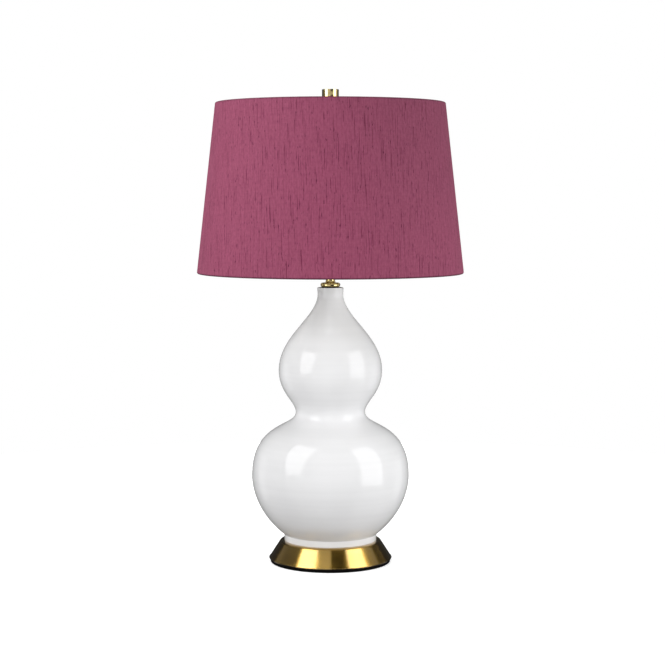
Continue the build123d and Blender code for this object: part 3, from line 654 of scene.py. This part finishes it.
def gourd_side(inset):
    """The chain from the foot up to the neck, set in by a wall."""
    stations = (FOOT, BELLY, WAIST, CROWN, NECK)
    foot_r, belly_r, waist_r, crown_r, neck_r = (radius - inset for radius, _ in stations)
    foot_z, belly_z, waist_z, crown_z, neck_z = (pot_z + height for _, height in stations)
    low_r = belly_r - LOW_BEND_IN
    low_z = foot_z + (low_r - foot_r) * math.tan(math.radians(FOOT_ANGLE))
    return [
        (foot_r, foot_z, None, (low_r, low_z)),
        (belly_r, belly_z, (belly_r, belly_z - handle(BELLY_BEND, LOW_BEND_IN)),
         (belly_r, belly_z + handle(BELLY_BEND, belly_r - waist_r))),
        (waist_r, waist_z, (waist_r, waist_z - handle(WAIST_BEND, belly_r - waist_r)),
         (waist_r, waist_z + handle(WAIST_BEND, crown_r - waist_r))),
        (crown_r, crown_z, (crown_r, crown_z - handle(CROWN_BEND, crown_r - waist_r)),
         (crown_r, crown_z + handle(CROWN_BEND, crown_r - neck_r))),
        (neck_r, neck_z, (neck_r, neck_z - NECK_FLARE), None),
    ]


foot_r = FOOT[0]
recess_r = foot_r - FOOT_RING
recess_z = pot_z + FOOT_RECESS
skirt_z = pot_z - SKIRT_H
inner_side = [(r, z, after, before) for r, z, before, after in reversed(gourd_side(WALL))]
gourd = to_outline(drawn("glazed_gourd", [
    (FLOOR_HOLE, recess_z, None, None),
    (recess_r, recess_z, None, None),
    (recess_r, pot_z, None, None),
    (foot_r - SKIRT_W, pot_z, None, None),
    (foot_r - SKIRT_W, skirt_z, None, None),
    (foot_r - SKIRT_ROUND, skirt_z, None, (foot_r - SKIRT_ROUND / 2, skirt_z)),
    (foot_r, skirt_z + SKIRT_ROUND, (foot_r, skirt_z + SKIRT_ROUND / 2), None),
    *gourd_side(0),
    (LIP_R, lip_z - EDGE_ROUND, None, (LIP_R, lip_z - EDGE_ROUND / 2)),
    (LIP_R - EDGE_ROUND, lip_z, (LIP_R - EDGE_ROUND / 2, lip_z), None),
    (NECK_HOLE, lip_z, None, None),
    (NECK_HOLE, pot_z + NECK[1], None, None),
    *inner_side,
    (FLOOR_HOLE, pot_z + FOOT[1], None, None),
], closed=True))
spin_round(256)
dress(gourd, "gourd_body")

# %% [markdown]
# A turned brass cap closes the neck: a thick flange with a rounded edge, a small collar that
# sweeps up into a short tube, and a black ring beneath it that shows as a thin dark line. They
# are polished and not brushed, so the rounded edge gathers the lights in bright spots.

# %% Cap and tube on the neck
CAP_H = 6.4
CAP_ROUND = 2.8
COLLAR_ROUND = 3.2
SPIGOT_R = NECK_HOLE - FIT

cap_low, cap_high = span("vase_cap")
tube_low, tube_high = span("neck_tube")
flange_z = span("neck_gasket")[1].z
vase_cap = turned("neck_cap", [
    (rod_r, cap_low.z, 0),
    (SPIGOT_R, cap_low.z, 0.5),
    (SPIGOT_R, flange_z, 0),
    (cap_high.x, flange_z, CAP_ROUND),
    (cap_high.x, flange_z + CAP_H, CAP_ROUND),
    (tube_high.x, flange_z + CAP_H, COLLAR_ROUND),
    (tube_high.x, cap_high.z, 0),
    (rod_r, cap_high.z, 0),
])
dress(vase_cap, "vase_cap")

neck_tube = turned("neck_sleeve", [
    (rod_r, tube_low.z, 0),
    (tube_high.x, tube_low.z, 0.4),
    (tube_high.x, tube_high.z, 0.6),
    (rod_r, tube_high.z, 0),
], steps=96)
dress(neck_tube, "neck_tube")

# %% [markdown]
# The finial is a plain brass drum on a narrower neck, screwed on the harp's stud above the
# spider. Its edges are only broken, so in the picture it shows bands of light and dark with a
# crisp top. It is turned as the cap is.

# %% Finial
FINIAL_NECK_R, FINIAL_NECK_H = 6.0, 13.0
STUD_R = 3.225
FINIAL_BORE = 12.3          # depth of the threaded bore, mm

finial_low, finial_high = span("finial")
drum_z = finial_low.z + FINIAL_NECK_H
bore_z = finial_low.z + FINIAL_BORE
finial = turned("finial_drum", [
    (STUD_R, finial_low.z, 0),
    (FINIAL_NECK_R, finial_low.z, 0.4),
    (FINIAL_NECK_R, drum_z, 0.8),
    (finial_high.x, drum_z, 0.5),
    (finial_high.x, finial_high.z, 0.5),
    (0, finial_high.z, 0),
    (0, bore_z, 0),
    (STUD_R, bore_z, 0),
], steps=128)
dress(finial, "finial")

# %% [markdown]
# The shade is one piece of silk, cut as a slice of a wide ring, wrapped round two wire rings and
# turned in over them. A cone with thickness would miss the rolled edges that give the shade its
# soft rims, which the silk's finish darkens further with painted shade, so the cross-section is
# drawn with its two rolls and tails. Places on it are given along the slant and inward from the
# cloth's outside, as one would measure on the shade.

# %% Helpers for the shade's cross-section
TOP_R, BOTTOM_R = 174.1, 203.0
SHADE_H = 258.2
SHADE_RISE = 8.7            # mm, the shade's top edge above the seat of the spider
SPIDER_T = 3.2              # mm, thickness of the spider's hub, under the finial
CLOTH_T = 0.6
WIRE_R = 1.5
WIRE_PLAY = 0.3             # mm between the wire and the cloth round it
HEM_W = 9.0                 # mm, how far a hem reaches from the edge
LAYER_GAP = 0.15            # mm between cloth and lining
LINING_T = 0.4
ROLL_STEPS = 14

roll_r = WIRE_R + WIRE_PLAY + CLOTH_T
seat_z = finial_low.z - SPIDER_T
shade_bottom = seat_z + SHADE_RISE - SHADE_H
slant = math.hypot(SHADE_H, BOTTOM_R - TOP_R)
cone_lean_in = (BOTTOM_R - TOP_R) / slant
cone_rise = SHADE_H / slant

def on_shade(along, inward):
    """(radius, height) a way up the slant and a way in from the cloth's outside."""
    return (BOTTOM_R - along * cone_lean_in - inward * cone_rise,
            shade_bottom + along * cone_rise - inward * cone_lean_in)


def rolled_hem(edge, up):
    """Outline of a hem from the outside skin round the wire to its tail, and back inside."""
    middle_r = roll_r - CLOTH_T / 2
    tail_in = CLOTH_T + 2 * LAYER_GAP + LINING_T + CLOTH_T / 2
    across, drop = HEM_W - roll_r, tail_in - roll_r
    leave = math.atan2(drop, across) + math.acos(middle_r / math.hypot(across, drop))
    tail = math.sqrt(across ** 2 + drop ** 2 - middle_r ** 2)
    skin = -math.pi / 2

    def spot(radius, angle, onward=0.0):
        along = roll_r + radius * math.cos(angle) + onward * math.sin(leave)
        inward = roll_r + radius * math.sin(angle) - onward * math.cos(leave)
        return on_shade(edge + up * along, inward)

    turn = leave - 2 * math.pi - skin
    angles = [skin + turn * step / ROLL_STEPS for step in range(ROLL_STEPS + 1)]
    outer = [spot(roll_r, angle) for angle in angles]
    inner = [spot(roll_r - CLOTH_T, angle) for angle in reversed(angles)]
    return outer + [spot(roll_r, leave, tail), spot(roll_r - CLOTH_T, leave, tail)] + inner


# %% [markdown]
# The cover is that cross-section, spun round the axis. Its upper tail is notched where the
# spider's three arms come in, by drilling along each arm. The slubs are drawn on the flat cut, so
# every corner of a face gets its place on that cut: a cone unrolls round its apex, with the join
# at the back. Blender's own unwrap would flatten it too, but not to metres.

# %% Silk cover of the shade
ARM_R = 1.5
ARM_TURNS = (90, 210, 330)  # degrees from +X, one arm to the rear
NOTCH_FROM = 5.0            # mm from the axis, where the drill for a notch starts
NOTCH_PLAY = 0.3            # mm round an arm

def lay_flat(piece, lapped=False):
    """Write the cone's flat cut to a UV map in metres. Its join is at the back, where a lap carries
    the cloth of one end on past it."""
    apex_z = (shade_bottom + BOTTOM_R * SHADE_H / (BOTTOM_R - TOP_R)) * MM
    flat = piece.data.uv_layers.get("flat_cloth") or piece.data.uv_layers.new(name="flat_cloth")
    for face in piece.data.polygons:
        face_turn = math.atan2(face.center.x, -face.center.y)
        if lapped:
            face_turn %= 2 * math.pi
        for loop in face.loop_indices:
            place = piece.data.vertices[piece.data.loops[loop].vertex_index].co
            turn = math.atan2(place.x, -place.y)
            turn += 2 * math.pi * round((face_turn - turn) / (2 * math.pi))
            reach = (apex_z - place.z) / cone_rise
            cut_turn = turn * cone_lean_in
            flat.data[loop].uv = (reach * math.sin(cut_turn), -reach * math.cos(cut_turn))


cloth_outline = rolled_hem(0, 1) + list(reversed(rolled_hem(slant, -1)))
shade = turned("silk_cover", [(r, z, 0) for r, z in cloth_outline], steps=256)
ring_top_r, ring_top_z = on_shade(slant - roll_r, roll_r)
hub_z = seat_z + SPIDER_T / 2
for turn in ARM_TURNS:
    out = Vector((math.cos(math.radians(turn)), math.sin(math.radians(turn)), 0))
    arm_start = out * NOTCH_FROM + Vector((0, 0, hub_z))
    arm_end = out * ring_top_r + Vector((0, 0, ring_top_z))
    drill(shade, arm_start, arm_end, ARM_R + NOTCH_PLAY)
lay_flat(shade)
dress(shade, "shade_fabric")

# %% [markdown]
# At the back the two ends of the cloth overlap in a narrow glued lap. It is made as by hand: the
# faces of the outside at the back are copied, parted off and thickened outwards a little. Only
# the long faces of the cone are taken, so the lap stops short of the rolled hems.

# %% Lap at the back of the cover
LAP_HALF = 7.5
LAP_T = 0.45
FACES_BACK = 0.9            # how far a face's normal has to point to the rear
LONG_FACE = 1e-4            # square metres, more than any face of a hem

only(shade)
bpy.ops.object.mode_set(mode="EDIT")
bpy.ops.mesh.select_mode(type="FACE")
mesh = bmesh.from_edit_mesh(shade.data)
for face in mesh.faces:
    middle = face.calc_center_median() / MM
    at_back = middle.y > 0 and abs(middle.x) < LAP_HALF
    face.select_set(at_back and face.normal.y > FACES_BACK and face.calc_area() > LONG_FACE)
bmesh.update_edit_mesh(shade.data)
bpy.ops.mesh.duplicate()
bpy.ops.mesh.separate(type="SELECTED")
bpy.ops.object.mode_set(mode="OBJECT")
lap = next(piece for piece in bpy.context.selected_objects if piece != shade)
lap.name = "silk_lap"
apply_modifier(lap, "SOLIDIFY", thickness=LAP_T * MM, offset=1.0)
edit_all(lap)
close_up()
lay_flat(lap, lapped=True)
lap.data.materials.clear()
lap.data.materials.append(finishes["raspberry_silk"])
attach(lap, "shade")
print(f"{lap.name}: {len(lap.data.polygons)} faces")

# %% [markdown]

# %% [markdown]
# Inside the cloth is a sheet of white styrene, which stiffens it and throws the light back. It is
# a thin cone, a little shorter than the cloth so that the hems lie over its edges.

# %% Lining
LINING_MARGIN = 4.5         # mm from each edge of the shade

lining_out = CLOTH_T + LAYER_GAP
lining_in = lining_out + LINING_T
lining = turned("styrene_lining", [
    (*on_shade(LINING_MARGIN, lining_out), 0),
    (*on_shade(slant - LINING_MARGIN, lining_out), 0),
    (*on_shade(slant - LINING_MARGIN, lining_in), 0),
    (*on_shade(LINING_MARGIN, lining_in), 0),
], steps=256)
dress(lining, "shade_lining")

# %% [markdown]
# The rings, the spider and the harp are bent wire. Wire is quickest as a curve with a round bevel,
# which becomes a mesh at the end. A torus would do for a ring, but not for the harp.

# %% Helpers for wire
WIRE_FACETS = 5
WIRE_CREASE = 50            # degrees, so that a wire's few facets shade as one round
RING_FACETS = 48            # for each quarter of a ring

def to_wire(curve, radius):
    """Give a curve a round section and make it a mesh with its place applied."""
    curve.data.dimensions = "3D"
    curve.data.bevel_depth = radius * MM
    curve.data.bevel_resolution = WIRE_FACETS
    curve.data.use_fill_caps = True
    only(curve)
    bpy.ops.object.convert(target="MESH")
    wire = bpy.context.object
    bpy.ops.object.transform_apply(location=True, rotation=True, scale=True)
    edit_all(wire)
    close_up(WIRE_CREASE)
    return wire


def ring(name, radius, height):
    """A closed ring of the shade's wire."""
    deselect()
    bpy.ops.curve.primitive_bezier_circle_add(radius=radius * MM, location=(0, 0, height * MM))
    bpy.context.object.name = name
    bpy.context.object.data.resolution_u = RING_FACETS
    return to_wire(bpy.context.object, WIRE_R)


# %% [markdown]
# The lower ring is a plain hoop inside the hem. The upper one carries the spider, three arms that
# meet in a flat hub with a hole for the harp's stud. One arm is modelled with the bead of weld that
# holds it to the ring. It is turned to the rear and spun in copies round the axis, so that all
# three are alike. Then the hub, the arms and the ring are joined, as they are on the lamp.

# %% Rings and spider
SPIDER_R = 11.0
HUB_BORE = 3.475            # mm, radius of the hole for the harp's stud
ARM_SUNK = 3.0              # mm, how far an arm goes into the hub
WELD_R = 2.6
WELD_SHAPE = (0.75, 1.3, 0.75)      # a bead is drawn out along the ring

bottom_ring = ring("lower_ring", *on_shade(roll_r, roll_r))
dress(bottom_ring, "shade_bottom_ring")

spider = ring("spider_frame", ring_top_r, ring_top_z)
arm = to_wire(drawn("spider_arm", [
    (SPIDER_R - ARM_SUNK, hub_z, None, None),
    (ring_top_r, ring_top_z, None, None),
], closed=False), ARM_R)
deselect()
bpy.ops.mesh.primitive_uv_sphere_add(
    segments=24, ring_count=12, radius=WELD_R * MM,
    location=(ring_top_r * MM, 0, ring_top_z * MM), scale=WELD_SHAPE)
weld = bpy.context.object
bpy.ops.object.transform_apply(location=True, rotation=True, scale=True)
join(arm, weld)
edit_all(arm)
bpy.ops.transform.rotate(value=math.radians(-ARM_TURNS[0]), orient_axis="Z", center_override=(0, 0, 0))
bpy.ops.mesh.select_all(action="SELECT")
bpy.ops.mesh.spin(dupli=True, steps=len(ARM_TURNS) - 1, angle=math.radians(ARM_TURNS[-1] - ARM_TURNS[0]),
                  center=(0, 0, 0), axis=(0, 0, 1))
bpy.ops.object.mode_set(mode="OBJECT")
hub = turned("spider_hub", [
    (HUB_BORE, seat_z, 0.2),
    (SPIDER_R, seat_z, 0.6),
    (SPIDER_R, seat_z + SPIDER_T, 0.6),
    (HUB_BORE, seat_z + SPIDER_T, 0.2),
], steps=96)
join(spider, hub, arm)
dress(spider, "shade_top_frame")

# %% [markdown]
# The harp is a loop of brass-plated wire that straddles the bulb and carries the shade. Its legs
# stand on the saddle's prongs and two locking sleeves slide over the joints. The loop is drawn
# with straight runs and round bends: each corner becomes two points, with handles that make the
# bend nearly circular. One sleeve is turned on the lamp's axis and copied, and each of the two is
# then moved out to its leg.

# %% Harp loop and its sleeves
BEND_SHARE = 0.45           # part of the shorter run that a bend takes up
LEG_H = 46.0
BOW_LOW = 92.0
BOW_DROP = 34.0
TOP_X = 30.0
HARP_WIRE_R = 2.0
SLEEVE_BORE = 2.05
SLEEVE_FOOT_H = 2.2         # mm, the wider foot of a sleeve
SLEEVE_NECK_H = 2.6         # mm, where its slimmer barrel starts
SLEEVE_STEP = 0.35          # mm, how much slimmer the barrel is
SLEEVE_CROWN = 0.2          # mm, the fall of its top from the bore outwards

def bent_path(corners):
    """Points with handles for a path in the XZ plane with rounded corners."""
    points = [(*corners[0], None, None)]
    for before, corner, after in zip(corners, corners[1:], corners[2:]):
        here = Vector(corner)
        back, ahead = Vector(before) - here, Vector(after) - here
        reach = BEND_SHARE * min(back.length, ahead.length)
        turn = math.pi - back.angle(ahead)
        hold = reach * (1 - 4 / 3 * math.tan(turn / 4) / math.tan(turn / 2))
        start, end = here + back.normalized() * reach, here + ahead.normalized() * reach
        points.append((*start, None, tuple(here + back.normalized() * hold)))
        points.append((*end, tuple(here + ahead.normalized() * hold), None))
    points.append((*corners[-1], None, None))
    return points


loop_low, loop_high = span("harp_loop")
sleeve_low, sleeve_high = span("harp_sleeve_right")
leg_x = (sleeve_low.x + sleeve_high.x) / 2
bow_x = loop_high.x - HARP_WIRE_R
top_z = loop_high.z - HARP_WIRE_R
right_side = [
    (leg_x, loop_low.z),
    (leg_x, loop_low.z + LEG_H),
    (bow_x, loop_low.z + BOW_LOW),
    (bow_x, top_z - BOW_DROP),
    (TOP_X, top_z),
]
left_side = [(-x, z) for x, z in reversed(right_side)]
harp_path = bent_path(right_side + left_side)
harp = to_wire(drawn("harp_wire", harp_path, closed=False, resolution=10), HARP_WIRE_R)
dress(harp, "harp_loop")

foot_out = sleeve_high.x - leg_x
barrel_out = foot_out - SLEEVE_STEP
left_sleeve = turned("locking_sleeve_left", [
    (SLEEVE_BORE, sleeve_low.z, 0.1),
    (foot_out, sleeve_low.z, 0.4),
    (foot_out, sleeve_low.z + SLEEVE_FOOT_H, 0.3),
    (barrel_out, sleeve_low.z + SLEEVE_NECK_H, 0.3),
    (barrel_out, sleeve_high.z - SLEEVE_CROWN, 0.4),
    (SLEEVE_BORE, sleeve_high.z, 0.1),
], steps=48)
bpy.ops.object.duplicate()
right_sleeve = bpy.context.object
right_sleeve.name = "locking_sleeve_right"
for sleeve, node, x in (
        (left_sleeve, "harp_sleeve_left", -leg_x), (right_sleeve, "harp_sleeve_right", leg_x)):
    edit_all(sleeve)
    bpy.ops.transform.translate(value=(x * MM, 0, 0))
    bpy.ops.object.mode_set(mode="OBJECT")
    dress(sleeve, node)

# %% [markdown]
# Under the shade sits a brass lampholder: a cap with a boss that screws on the rod, and a shell
# with two rolled grooves that stiffen it, bored at the front for the switch's spindle. Both are
# pressed from sheet, and turning their outlines gives the same thin walls.

# %% Lampholder
HOLDER_BOSS_R, HOLDER_BOSS_H = 9.0, 5.0
HOLDER_FLOOR = 8.0          # mm from the boss's end up to the floor of the cap
HOLDER_CONE = 9.0
HOLDER_T = 0.8
HOLDER_SHELL_T = 0.6
GROOVE_SHARES = (0.35, 0.62)        # heights of the two grooves on the bare part of the shell
GROOVE_HALF, GROOVE_MOUTH = 1.0, 1.6        # mm, half its width at the bottom and at the top
GROOVE_DEPTH = 0.25
SPINDLE_HOLE = 2.6
SPINDLE_FROM, SPINDLE_TO = -10, -30         # mm in front of the axis, where the drill starts and ends

hcap_low, hcap_high = span("holder_cap")
hshell_low, hshell_high = span("holder_shell")
knob_low, knob_high = span("switch_knob")
spindle_z = (knob_low.z + knob_high.z) / 2
boss_top = hcap_low.z + HOLDER_BOSS_H
cone_top = boss_top + HOLDER_CONE
floor_z = hcap_low.z + HOLDER_FLOOR
holder_cap = turned("lampholder_cap", [
    (rod_r, hcap_low.z, 0),
    (HOLDER_BOSS_R, hcap_low.z, 0.5),
    (HOLDER_BOSS_R, boss_top, 1.5),
    (hcap_high.x, cone_top, 2.5),
    (hcap_high.x, hcap_high.z, 0.3),
    (hcap_high.x - HOLDER_T, hcap_high.z, 0.3),
    (hcap_high.x - HOLDER_T, cone_top + HOLDER_T / 2, 1.5),
    (HOLDER_BOSS_R + HOLDER_T, floor_z, 0),
    (rod_r, floor_z, 0),
], steps=128)
dress(holder_cap, "holder_cap")

skin_r = hshell_high.x
groove_r = skin_r - GROOVE_DEPTH
shell_side = [(skin_r, hshell_low.z, 0)]
for share in GROOVE_SHARES:
    level = hcap_high.z + share * (hshell_high.z - hcap_high.z)
    shell_side += [
        (skin_r, level - GROOVE_MOUTH, 0.3),
        (groove_r, level - GROOVE_HALF, 0.3),
        (groove_r, level + GROOVE_HALF, 0.3),
        (skin_r, level + GROOVE_MOUTH, 0.3),
    ]
holder_shell = turned("lampholder_shell", shell_side + [
    (skin_r, hshell_high.z, 0.25),
    (skin_r - HOLDER_SHELL_T, hshell_high.z, 0.25),
    (skin_r - HOLDER_SHELL_T, hshell_low.z, 0),
], steps=128)
drill(holder_shell, (0, SPINDLE_FROM, spindle_z), (0, SPINDLE_TO, spindle_z), SPINDLE_HOLE)
dress(holder_shell, "holder_shell")

# %% [markdown]
# The bulb is blown opal glass: a straight neck that swells into a round crown. Half of its outline
# is drawn and spun, and Solidify gives it a wall inwards. A stretched sphere would be quicker, but
# it would have no neck, and the bulb shows from below and from above.

# %% Bulb
BULB_R = 30.0
BULB_WIDEST = 31.0          # mm below the bulb's top
BULB_NECK_R = 12.5
BULB_NECK_H = 30.0          # mm above the tip of the contact
BULB_GLASS = 0.8
NECK_PULL, SIDE_PULL, CROWN_PULL = 18.0, 22.0, 16.0         # lengths of the handles, mm

glass_low, glass_high = span("bulb_envelope")
bulb_top = glass_high.z
widest_z = bulb_top - BULB_WIDEST
neck_top = span("bulb_contact")[0].z + BULB_NECK_H
bulb = to_outline(drawn("opal_bulb", [
    (BULB_NECK_R, glass_low.z, None, None),
    (BULB_NECK_R, neck_top, None, (BULB_NECK_R, neck_top + NECK_PULL)),
    (BULB_R, widest_z, (BULB_R, widest_z - SIDE_PULL), (BULB_R, widest_z + BULB_WIDEST / 2)),
    (0, bulb_top, (CROWN_PULL, bulb_top), None),
], closed=False))
spin_round(128)
apply_modifier(bulb, "SOLIDIFY", thickness=BULB_GLASS * MM, offset=-1.0)
dress(bulb, "bulb_envelope")

# %% [markdown]
# Every other piece keeps the shape that the construction gave it: the iron weight, the rod with its
# nut and washer, the plate and its screws, the gaskets, the grommet, the saddle, the stud and the
# works of the lampholder and bulb. They only need their finish.

# %% Finishes for the pieces that keep their shape
kept = [name for name, part in frame["nodes"].items() if not part.hide_render]
for name in kept:
    part = frame["nodes"][name]
    if not part.material_slots:
        part.data.materials.append(None)
    for place in part.material_slots:
        place.material = finishes[slot_of[name]]
print(f"{len(kept)} CAD pieces keep their shape: {', '.join(sorted(kept))}")

# %% [markdown]
# The studio is a pale floor in a white room. The white of the picture comes from what the camera,
# mirrors and glass see of the room, and not from more light on the lamp: for those rays the room
# is white, and for matt surfaces it is a grey. The floor is paper that keeps the lamp's shadow. To
# the camera it glows a little, which carries it up to white outside the shadow. To all other rays
# it is a greyer paper, so that the underside of the pot stays as dark as in the photograph.

# %% Room and floor
ROOM_LIGHT = 0.635          # grey level of the room as a light on matt surfaces
FLOOR_R = 1.3               # metres
FLOOR_Z = -0.3              # mm, just clear of the pad's underside
FLOOR_GLOW = 0.6

world = bpy.data.worlds.new("white_room")
bpy.context.scene.world = world
world.use_nodes = True
tree = world.node_tree
tree.nodes.clear()
rays = add_node(tree, "ShaderNodeLightPath").outputs
mirrored = add_node(tree, "ShaderNodeMath", {
    0: rays["Is Glossy Ray"], 1: rays["Is Transmission Ray"]}, operation="MAXIMUM")
seen = add_node(tree, "ShaderNodeMath", {0: rays["Is Camera Ray"], 1: mirrored}, operation="MAXIMUM")
lit = add_node(tree, "ShaderNodeBackground", {"Color": WHITE, "Strength": ROOM_LIGHT})
white = add_node(tree, "ShaderNodeBackground", {"Color": WHITE, "Strength": 1.0})
either = add_node(tree, "ShaderNodeMixShader", {0: seen, 1: lit, 2: white})
add_node(tree, "ShaderNodeOutputWorld", {"Surface": either})

deselect()
bpy.ops.mesh.primitive_circle_add(
    vertices=96, radius=FLOOR_R, fill_type="NGON", location=(0, 0, FLOOR_Z * MM))
floor = bpy.context.object
floor.name = "floor"
floor.visible_glossy = False
paper = bpy.data.materials.new("pale_paper")
paper.use_nodes = True
tree = paper.node_tree
tree.nodes.clear()
rays = add_node(tree, "ShaderNodeLightPath").outputs
pale = add_node(tree, "ShaderNodeBsdfDiffuse", {"Color": linear("#e4e4e4")})
bounce = add_node(tree, "ShaderNodeBsdfDiffuse", {"Color": linear("#b4b4b4")})
glow = add_node(tree, "ShaderNodeEmission", {"Color": WHITE, "Strength": FLOOR_GLOW})
shown = add_node(tree, "ShaderNodeAddShader", {0: pale, 1: glow})
either = add_node(tree, "ShaderNodeMixShader", {0: rays["Is Camera Ray"], 1: bounce, 2: shown})
add_node(tree, "ShaderNodeOutputMaterial", {"Surface": either})
floor.data.materials.append(paper)
floor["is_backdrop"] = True
print(f"floor {2 * FLOOR_R} m across, room light {ROOM_LIGHT}")

# %% [markdown]
# Three soft lights shape the matt white and the cloth: the key from the left, as the photograph's
# shading shows, a weak one low on the right that reaches only the pot and the base, and one behind
# for the views from the back. They are square area lights that face the lamp's axis. Left to
# itself, an area light also shows as a bare square in the glaze, so these are hidden from
# reflections, and the boards of the next step take over there.

# %% Lights
def at(azimuth, distance, height):
    """A place round the lamp in metres. Azimuth 0 is the camera's side, positive to the right."""
    turn = math.radians(azimuth)
    return Vector((distance * math.sin(turn), -distance * math.cos(turn), height))


def soft_light(name, place, aim_height, size, power, spread):
    """A square area light that faces the lamp's axis and leaves reflections to the boards."""
    aim = Vector((0, 0, aim_height)) - place
    deselect()
    bpy.ops.object.light_add(
        type="AREA", location=place, rotation=aim.to_track_quat("-Z", "Y").to_euler())
    lamp = bpy.context.object
    lamp.name = name
    lamp.data.size = size
    lamp.data.energy = power
    lamp.data.spread = math.radians(spread)
    lamp.visible_glossy = False
    print(f"{name}: {power} W from {size} m square")


soft_light("key_left", at(-52, 1.55, 0.85), aim_height=0.35, size=0.9, power=13.6, spread=180)
soft_light("fill_right", at(58, 1.6, 0.30), aim_height=0.14, size=0.8, power=1.55, spread=50)
soft_light("fill_rear", at(176, 1.6, 0.75), aim_height=0.35, size=0.45, power=7.0, spread=180)

# %% [markdown]
# Shiny things are lit by what they mirror, so boards stand round the lamp as on a product table.
# Two bright ones are the faces of the soft boxes: they make the windows on the pot and the bright
# bars on the brass, and a small one over the shade makes the glint on the neck. Grey and dark ones
# give the brass its dark bars and the white pot a readable edge. Only reflections see them, so they
# change no shading, and each could be placed by tracing a highlight back to where it comes from.

# %% Boards that only reflections see
LEFT_BOX, RIGHT_BOX, TOP_BOX = 5.6, 5.0, 3.0        # brightness, where the white room is 1
STRIP, DARK_FRONT, DARK_REAR = 0.9, 0.01, 0.04

def board(name, foot, head, width, level):
    """A flat board between the middles of its lower and upper edges, turned to the lamp's axis."""
    middle, up = (foot + head) / 2, head - foot
    face = -middle - (-middle).project(up)
    across = up.cross(face)
    axes = Matrix((across.normalized(), up.normalized(), face.normalized())).transposed()
    deselect()
    bpy.ops.mesh.primitive_plane_add(size=1, location=middle, rotation=axes.to_euler())
    panel = bpy.context.object
    panel.name = name
    panel.scale = (width, up.length, 1)
    for ray in ("camera", "diffuse", "transmission", "shadow", "volume_scatter"):
        setattr(panel, f"visible_{ray}", False)
    card = bpy.data.materials.new(name)
    card.use_nodes = True
    tree = card.node_tree
    tree.nodes.clear()
    glow = add_node(tree, "ShaderNodeEmission", {"Color": WHITE, "Strength": level})
    add_node(tree, "ShaderNodeOutputMaterial", {"Surface": glow})
    panel.data.materials.append(card)
    panel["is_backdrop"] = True
    print(f"{name}: level {level}")


def wall(name, left, right, distance, level, low=-4.0, high=12.0):
    """An upright board that fills the view from the lamp between two azimuths and two heights."""
    middle, half = (left + right) / 2, math.radians(right - left) / 2
    width = 2 * distance * math.tan(half)
    board(name, at(middle, distance, low), at(middle, distance, high), width, level)


board("left_box_face", at(-53, 1.34, 0.22), at(-64, 0.52, 1.18), width=0.58, level=LEFT_BOX)
board("right_box_face", at(60.5, 1.32, -0.05), at(69, 1.00, 1.70), width=0.82, level=RIGHT_BOX)
board("over_shade", at(0, 0.46, 1.2), at(0, 0.27, 1.2), width=0.36, level=TOP_BOX)
wall("dark_low_right", 2, 46, distance=2.2, level=DARK_FRONT, high=0.70)
wall("dark_high_right", 2, 46, distance=2.2, level=DARK_FRONT, low=0.98)
wall("grey_front", -38, 46, distance=2.25, level=0.7, low=0.70, high=0.98)
wall("pale_high_front", -38, 2, distance=2.2, level=0.8, low=0.98)
wall("dim_left", -130, -66, distance=2.4, level=0.18)
wall("strip_left", -128, -107, distance=2.3, level=STRIP, low=-1.0, high=0.6)
wall("dark_rear_left", -180, -130, distance=2.5, level=DARK_REAR)
wall("dim_right", 84, 113, distance=2.4, level=0.5)
wall("strip_right", 107, 128, distance=2.3, level=STRIP, low=-1.0, high=0.6)
wall("dark_rear_right", 113, 180, distance=2.5, level=DARK_REAR)

# %% [markdown]
# Last, the box round all that shows is measured again and written beside the construction's box,
# so that a piece that has grown past its place is noticed.

low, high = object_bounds()
for label, size in (("visual", high - low), ("CAD", cad_high - cad_low)):
    print(f"{label} box {[round(side / MM, 1) for side in size]} mm")
